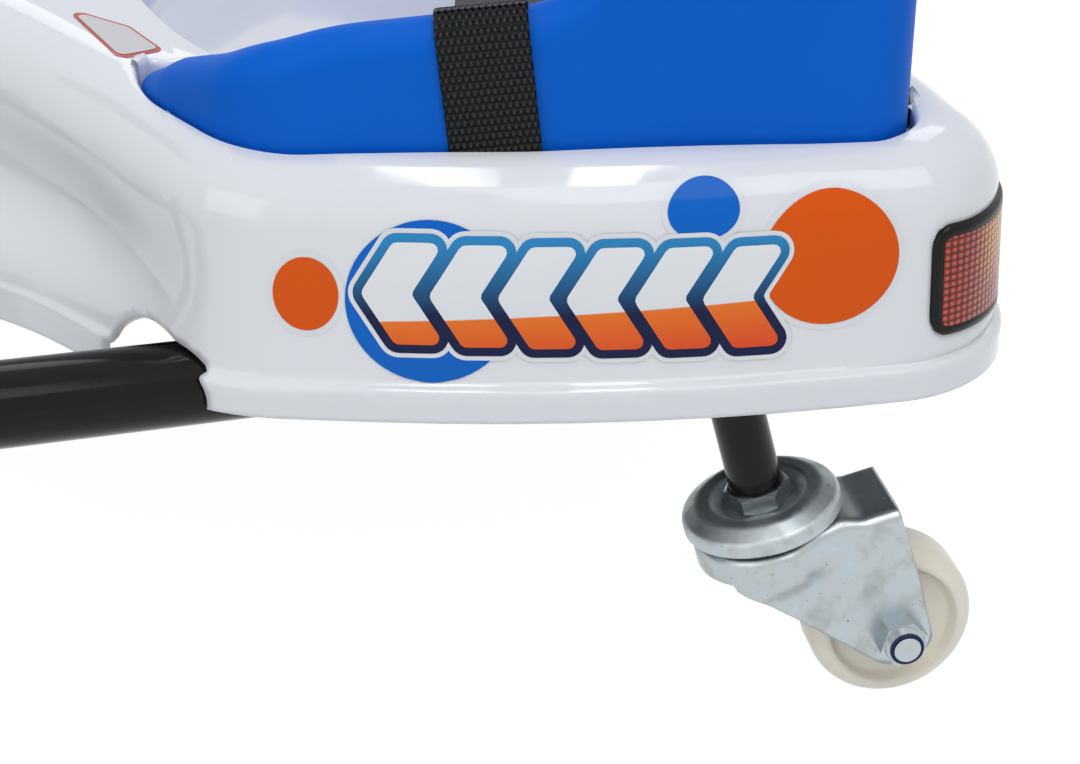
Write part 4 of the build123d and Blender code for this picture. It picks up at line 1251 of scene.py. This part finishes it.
def build_belt():
    """Black lap belt webbing over the wings, running from the buckle in the pan."""
    path = bend_path([(STRAP_X, y, z) for y, z in STRAP_PATH], [0, 9, 1.1, 1.1, 5.0, 12.0, 8.0, 0], 0.8)
    across = np.array([1.0, 0, 0])
    out = np.cross(headings(path, 8), across)
    run = run_along(path)
    upper = [(-STRAP_HALF, 0.25), (-12.1, 0.7), (-11.0, 0.8)] + [(x, 0.8) for x in np.linspace(-9, 9, 10)]
    upper += [(11.0, 0.8), (12.1, 0.7), (STRAP_HALF, 0.25)]
    profile = upper + [(x, -t) for x, t in reversed(upper)]
    V, uv = [], []
    for p, o, s in zip(path, out, run):
        for x, t in profile:
            q = p + across * x + o * t
            dx, dz = q[0] - STRAP_X, q[2] - STRAP_TURN_Z
            V.append((STRAP_X + dx * cos(STRAP_LEAN) + dz * sin(STRAP_LEAN), q[1],
                      STRAP_TURN_Z - dx * sin(STRAP_LEAN) + dz * cos(STRAP_LEAN)))
            uv.append((x + STRAP_HALF, s))
    n = len(profile)
    F = quads(len(path), n, closed=True)
    F.append(tuple(range(n))[::-1])
    F.append(tuple(len(V) - n + i for i in range(n)))
    V = np.array(V)
    left = put("lap_belt_left", V, F, "webbing", "chassis", 50, uv)
    W, G = mirrored(V, F)
    right = put("lap_belt_right", W, G, "webbing", "chassis", 50, uv)
    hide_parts("lap_belt")
    return left, right


# Printed film

def surface_tree(obj):
    """Search tree of an object's finished surface, for rays."""
    graph = bpy.context.evaluated_depsgraph_get()
    return BVHTree.FromObject(obj, graph)


# Start of the rays that lay a film on its shell: so far out to the side, or above
RAY_OUT = 300.0
RAY_UP = 400.0


def film(name, outline, lift_mm, finish_name, tree, side=1, down=False, heart=None):
    """Thin printed piece laid on a shell: a closed outline of (x, z) from the side, or (x, y) from above."""
    pts = np.array(outline, float)
    centre = pts.mean(axis=0) if heart is None else np.array(heart)
    rings = 9
    flat = [centre]
    for r in range(1, rings + 1):
        flat += list(centre + (pts - centre) * r / rings)
    n = len(pts)
    aim = Vector((0, 0, -1)) if down else Vector((0, -side, 0))
    V = []
    for u, v in flat:
        start = Vector((u, v * side, RAY_UP)) if down else Vector((u, side * RAY_OUT, v))
        hit, normal, _, _ = tree.ray_cast(start * MM, aim)
        if hit is None:
            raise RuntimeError(f"{name}: no shell behind ({u:.1f}, {v:.1f})")
        if normal.dot(aim) > 0:
            normal = -normal
        V.append(tuple((hit + normal * lift_mm * MM) / MM))
    return put(name, V, fan(rings, n), finish_name, "chassis", 60)


def round_dot(x, z, rx, rz, count=64):
    """Closed outline of a dot."""
    return [(x + rx * cos(2 * pi * k / count), z + rz * sin(2 * pi * k / count)) for k in range(count)]


def rounded(points, radius, step=1.2):
    """Closed outline of a polygon with rounded corners."""
    middle = tuple((np.array(points[0]) + np.array(points[-1])) / 2)
    radii = [0] + [radius] * len(points) + [0] if not isinstance(radius, list) else [0, *radius, 0]
    loop = bend_path([middle, *points, middle], radii, step)
    return [(p[0], p[1]) for p in loop[:-1]]


# Printed dots: name, centre x and z, half width, half height, ink, whether a clear margin shows
DOTS = [
    ("orange_dot_small", -240.0, 143.0, 8.9, 10.2, "orange", True),
    ("blue_dot_large", -273.6, 141.5, 23.0, 22.5, "blue", False),
    ("blue_dot_small", -346.6, 165.1, 9.7, 7.6, "blue", True),
    ("orange_dot_large", -381.2, 150.2, 18.9, 18.4, "orange", True),
]
DOT_MARGIN = 1.7
LABEL = [(-162, 79), (-183, 109), (-194, 97), (-182, 83)]
CHEVRONS = 6
CHEVRON_HIGH = 28.4
CHEVRON_POINT = 9.0
CHEVRON_ROW = 110.0
CHEVRON_FRONT = -252.5
CHEVRON_MARGIN = 2.3
CHEVRON_Z = 143.9
CHEVRON_FALL = 0.55


def chevron(k, grow=0.0):
    """One chevron of the row, its point to the front: outline of (x, z) and a point to fan it from."""
    pitch = CHEVRON_ROW / CHEVRONS
    wide = pitch - 2 * CHEVRON_MARGIN
    front = CHEVRON_FRONT - CHEVRON_MARGIN - CHEVRON_POINT - pitch * k
    middle = CHEVRON_Z - CHEVRON_FALL * k
    half = CHEVRON_HIGH / 2
    slope = CHEVRON_POINT / half
    push = grow * sqrt(1 + slope * slope)
    tip, tail = half + grow, slope * grow
    nose, notch = front + push - tail, front - wide - push - tail
    pts = [(front + CHEVRON_POINT + push, 0), (nose, tip), (notch, tip),
           (front - wide + CHEVRON_POINT - push, 0), (notch, -tip), (nose, -tip)]
    pts = [(x, middle + z) for x, z in pts]
    turns = [2.2 + grow, 2.0 + grow, 2.0 + grow, 1.5, 2.0 + grow, 2.0 + grow]
    rounded_pts = rounded([*pts[1:], pts[0]], [*turns[1:], turns[0]])
    return rounded_pts, (front - wide / 2 + CHEVRON_POINT, middle)


def build_films(tub):
    """Printed dots, a row of two-colour chevrons and a bare label on each side of the tub."""
    tree = surface_tree(tub)
    step = sizes().film / MM
    for side, tag in ((1, "left"), (-1, "right")):
        for name, x, z, rx, rz, ink, margin in DOTS:
            if margin:
                film(f"{name}_margin_{tag}", round_dot(x, z, rx + DOT_MARGIN, rz + DOT_MARGIN), step, "clear",
                     tree, side)
            film(f"{name}_{tag}", round_dot(x, z, rx, rz), step * 2, ink, tree, side)
        for part, grow, lift, ink in (("margin", 3.7, 2.4, "clear"), ("outline", 2.45, 3.2, "navy"),
                                      ("face", 0.0, 4.0, "two_tone")):
            for k in range(CHEVRONS):
                outline, heart = chevron(k, grow)
                # Neighbours touch, so every second one lies a little higher
                high = step * (lift + 0.3 * (k % 2))
                film(f"chevron_{k + 1}_{part}_{tag}", outline, high, ink, tree, side, heart=heart)
        film(f"label_edge_{tag}", rounded(LABEL, 3.0), step, "red_line", tree, side, True)
        inner = np.array(LABEL) + (np.mean(LABEL, axis=0) - LABEL) * 0.14
        inner = rounded([tuple(q) for q in inner], 2.2)
        film(f"label_face_{tag}", inner, step * 2, "blank", tree, side, True)


def build_lamps():
    """Tail lamps that wrap round the rear corners: a prismatic lens in a black bezel."""
    ring = lamp_outline()
    n = len(ring)
    centre = ring.mean(axis=0)
    rings = 14
    flat = [centre] + [q for r in range(1, rings + 1) for q in centre + (ring - centre) * r / rings]
    flat = np.array(flat)
    V = on_wall(flat, 1.0)
    # The last ring turns back into the recess
    V = np.vstack([V, on_wall(ring, -1.4)])
    F = fan(rings + 1, n)
    front = ring[:, 0].max()
    uv = [(front - q[0], q[1] - LAMP_FOOT) for q in [*flat, *ring]]
    rows = [(0.1, -1.4), (0.1, 0.9), (0.4, 1.1), (2.3, 0.9), (2.8, 0.5), (3.0, -0.1), (3.0, -1.6)]
    away = ring - np.roll(ring, 1, axis=0) + np.roll(ring, -1, axis=0) - ring
    away = np.column_stack([away[:, 1], -away[:, 0]]) / np.linalg.norm(away, axis=1)[:, None]
    if ((ring - centre) * away).sum() < 0:
        away = -away
    B = np.vstack([on_wall(ring + away * grow, out) for grow, out in rows])
    G = quads(len(rows), n, closed=True)
    left = put("tail_lamp_left", V, F, "lens", "chassis", 40, uv)
    W, H = mirrored(V, F)
    right = put("tail_lamp_right", W, H, "lens", "chassis", 40, uv)
    put("lamp_bezel_left", B, G, "bezel", "chassis", 50)
    C, K = mirrored(B, G)
    put("lamp_bezel_right", C, K, "bezel", "chassis", 50)
    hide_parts("tail_lamps")
    return left, right


class KartStage(bpy.types.Operator):
    """Pale floor, soft studio light and the camera"""
    bl_idname = "kart.stage"
    bl_label = "Stage"

    def execute(self, context):
        build_stage()
        return {"FINISHED"}


CAMERA_AT = (-0.303, 0.753, 0.435)
CAMERA_TILT = radians(29.0)
SOFT_LIGHT = 0.48
FLOOR_HALF = 6.0
FLOOR_GLOW = 1.35
FLOOR_SHARE = 0.7
# Lamps: name, place and aim in metres, width and length in metres, watts
LAMPS = [
    ("key", (-0.9, 1.3, 1.9), (-0.25, 0.0, 0.15), 1.4, 1.0, 9),
    ("fill", (1.0, 1.4, 0.9), (-0.1, 0.0, 0.15), 1.2, 1.0, 5),
    ("back", (-0.6, -1.5, 1.6), (-0.2, 0.0, 0.2), 1.4, 1.0, 8),
    ("strip_front", (-0.155, 0.45, 1.75), (-0.155, 0.449, 0.0), 0.15, 0.9, 3.6),
    ("strip_rear", (-0.475, 0.45, 1.75), (-0.475, 0.449, 0.0), 0.15, 0.9, 3.6),
]


def area_light(name, at, aim, width, height, power):
    """Soft rectangular lamp that looks at a point, in metres and watts."""
    data = bpy.data.lights.new(name, "AREA")
    data.shape = "RECTANGLE"
    data.size = width
    data.size_y = height
    data.energy = power
    lamp = bpy.data.objects.new(name, data)
    bpy.context.scene.collection.objects.link(lamp)
    lamp.location = at
    lamp.rotation_mode = "QUATERNION"
    lamp.rotation_quaternion = (Vector(aim) - Vector(at)).to_track_quat("-Z", "Y")
    return lamp


def background_rays(tree):
    """1 for the rays that see the background: those of the camera, of glossy surfaces and of glass."""
    path = node(tree, "ShaderNodeLightPath")
    two = node(tree, "ShaderNodeMath", {0: path.outputs["Is Camera Ray"], 1: path.outputs["Is Glossy Ray"]},
               operation="MAXIMUM")
    return node(tree, "ShaderNodeMath", {0: two.outputs[0], 1: path.outputs["Is Transmission Ray"]},
                operation="MAXIMUM")


def build_stage():
    """Camera at the photograph's view, white surroundings, floor and lamps."""
    scene = bpy.context.scene
    scene.view_settings.view_transform = "Standard"
    cam_data = bpy.data.cameras.new("camera")
    cam_data.lens = 80.0
    cam_data.sensor_width = 36.0
    cam_data.clip_start = 0.01
    cam = bpy.data.objects.new("camera", cam_data)
    scene.collection.objects.link(cam)
    x, y, z = CAMERA_AT
    up, back = cos(CAMERA_TILT), sin(CAMERA_TILT)
    cam.matrix_world = Matrix(((-1, 0, 0, x), (0, -back, up, y), (0, up, back, z), (0, 0, 0, 1)))
    scene.camera = cam
    world = bpy.data.worlds.new("studio")
    scene.world = world
    world.use_nodes = True
    tree = world.node_tree
    tree.nodes.clear()
    seen = background_rays(tree)
    soft = node(tree, "ShaderNodeBackground", {"Color": linear("E6EAF0"), "Strength": SOFT_LIGHT})
    white = node(tree, "ShaderNodeBackground", {"Color": grey(1.0), "Strength": 1.0})
    mix = node(tree, "ShaderNodeMixShader", {0: seen.outputs[0], 1: soft.outputs[0], 2: white.outputs[0]})
    node(tree, "ShaderNodeOutputWorld", {"Surface": mix.outputs[0]})
    floor_mesh = bpy.data.meshes.new("floor")
    corners = [(x * FLOOR_HALF, y * FLOOR_HALF, 0) for x, y in ((-1, -1), (1, -1), (1, 1), (-1, 1))]
    floor_mesh.from_pydata(corners, [], [(0, 1, 2, 3)])
    floor = bpy.data.objects.new("floor", floor_mesh)
    scene.collection.objects.link(floor)
    mat = bpy.data.materials.new("pale_studio_floor")
    mat.use_nodes = True
    tree = mat.node_tree
    tree.nodes.clear()
    seen = background_rays(tree)
    dull = node(tree, "ShaderNodeBsdfDiffuse", {"Color": linear("F6F7F8")})
    glow = node(tree, "ShaderNodeEmission", {"Color": grey(1.0), "Strength": FLOOR_GLOW})
    share = node(tree, "ShaderNodeMath", {0: seen.outputs[0], 1: FLOOR_SHARE}, operation="MULTIPLY")
    mix = node(tree, "ShaderNodeMixShader", {0: share.outputs[0], 1: dull.outputs[0], 2: glow.outputs[0]})
    node(tree, "ShaderNodeOutputMaterial", {"Surface": mix.outputs[0]})
    floor_mesh.materials.append(mat)
    for lamp in LAMPS:
        area_light(*lamp)


class KartShell(bpy.types.Operator):
    """Gloss white tub, pan and nose cowl, with their printed film"""
    bl_idname = "kart.shell"
    bl_label = "Shells and film"

    def execute(self, context):
        tub = build_tub()
        build_pan()
        build_cowl()
        build_films(tub)
        build_lamps()
        return {"FINISHED"}


class KartSeat(bpy.types.Operator):
    """Blue wrap-around backrest with its lap belt"""
    bl_idname = "kart.seat"
    bl_label = "Seat and belt"

    def execute(self, context):
        build_seat()
        build_belt()
        return {"FINISHED"}


NODE_FINISH = {
    "shell": ["body_shell", "front_cowl"],
    "seat": ["seat"],
    "webbing": ["lap_belt"],
    "tube": ["side_tube_left", "side_tube_right", "caster_stem_tubes", "front_bumper"],
    "satin_black": ["frame_main", "seat_support", "shell_brackets", "column_bracket", "steering_column",
                    "tie_rod"],
    "plastic": ["battery_pack", "belt_buckle", "bumper_caps", "controller_box", "dash_panel", "foot_rests",
                "horn_pad", "steering_wheel", "throttle_pedal"],
    "zinc": ["caster_bolt_left", "caster_bolt_right", "caster_fork_left", "caster_fork_right",
             "caster_locknut_left", "caster_locknut_right", "caster_stems", "kingpins", "knuckle_left",
             "knuckle_right", "stub_axle_left", "stub_axle_right"],
    "zinc_soft": ["caster_cups"],
    "nut": ["caster_stem_nuts"],
    "nylon": ["caster_wheel_left", "caster_wheel_right"],
    "lens": ["tail_lamps"],
    "aluminium": ["hub_motor_left", "hub_motor_right"],
    "rubber": ["front_tyre_left", "front_tyre_right"],
}


class KartNodes(bpy.types.Operator):
    """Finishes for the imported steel, plastic and rubber pieces"""
    bl_idname = "kart.nodes"
    bl_label = "Packed pieces"

    def execute(self, context):
        for name, nodes in NODE_FINISH.items():
            for n in nodes:
                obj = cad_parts[n]
                obj.data.materials.clear()
                obj.data.materials.append(finish(name))
        return {"FINISHED"}


class KartWheels(bpy.types.Operator):
    """Pressed caster forks, treaded front tyres, hub screws and dash buttons"""
    bl_idname = "kart.wheels"
    bl_label = "Wheels and buttons"

    def execute(self, context):
        build_casters()
        build_tyres()
        build_hub_screws()
        build_dash()
        return {"FINISHED"}


class KartPanel(bpy.types.Panel):
    """Sidebar list of the kart's groups of pieces"""
    bl_idname = "VIEW3D_PT_kart"
    bl_label = "Drift kart"
    bl_space_type = "VIEW_3D"
    bl_region_type = "UI"
    bl_category = "Kart"

    def draw(self, context):
        for key in ("film", "crest", "pick", "wall"):
            self.layout.prop(context.scene.kart_sizes, key)
        for key in KartColours.__annotations__:
            self.layout.prop(context.scene.kart_colours, key)
        for op in OPERATORS:
            self.layout.operator(op.bl_idname)


OPERATORS = (KartStage, KartNodes, KartShell, KartSeat, KartWheels)
CLASSES = (KartSizes, KartColours, *OPERATORS, KartPanel)


def register():
    """Adds the classes and the properties to Blender."""
    for c in CLASSES:
        bpy.utils.register_class(c)
    bpy.types.Scene.kart_sizes = bpy.props.PointerProperty(type=KartSizes)
    bpy.types.Scene.kart_colours = bpy.props.PointerProperty(type=KartColours)


def unregister():
    """Takes them out again."""
    del bpy.types.Scene.kart_colours
    del bpy.types.Scene.kart_sizes
    for c in reversed(CLASSES):
        bpy.utils.unregister_class(c)


def main():
    """Builds the whole scene."""
    register()
    for op in OPERATORS:
        group, name = op.bl_idname.split(".")
        getattr(getattr(bpy.ops, group), name)()


if __name__ == "__main__":
    main()
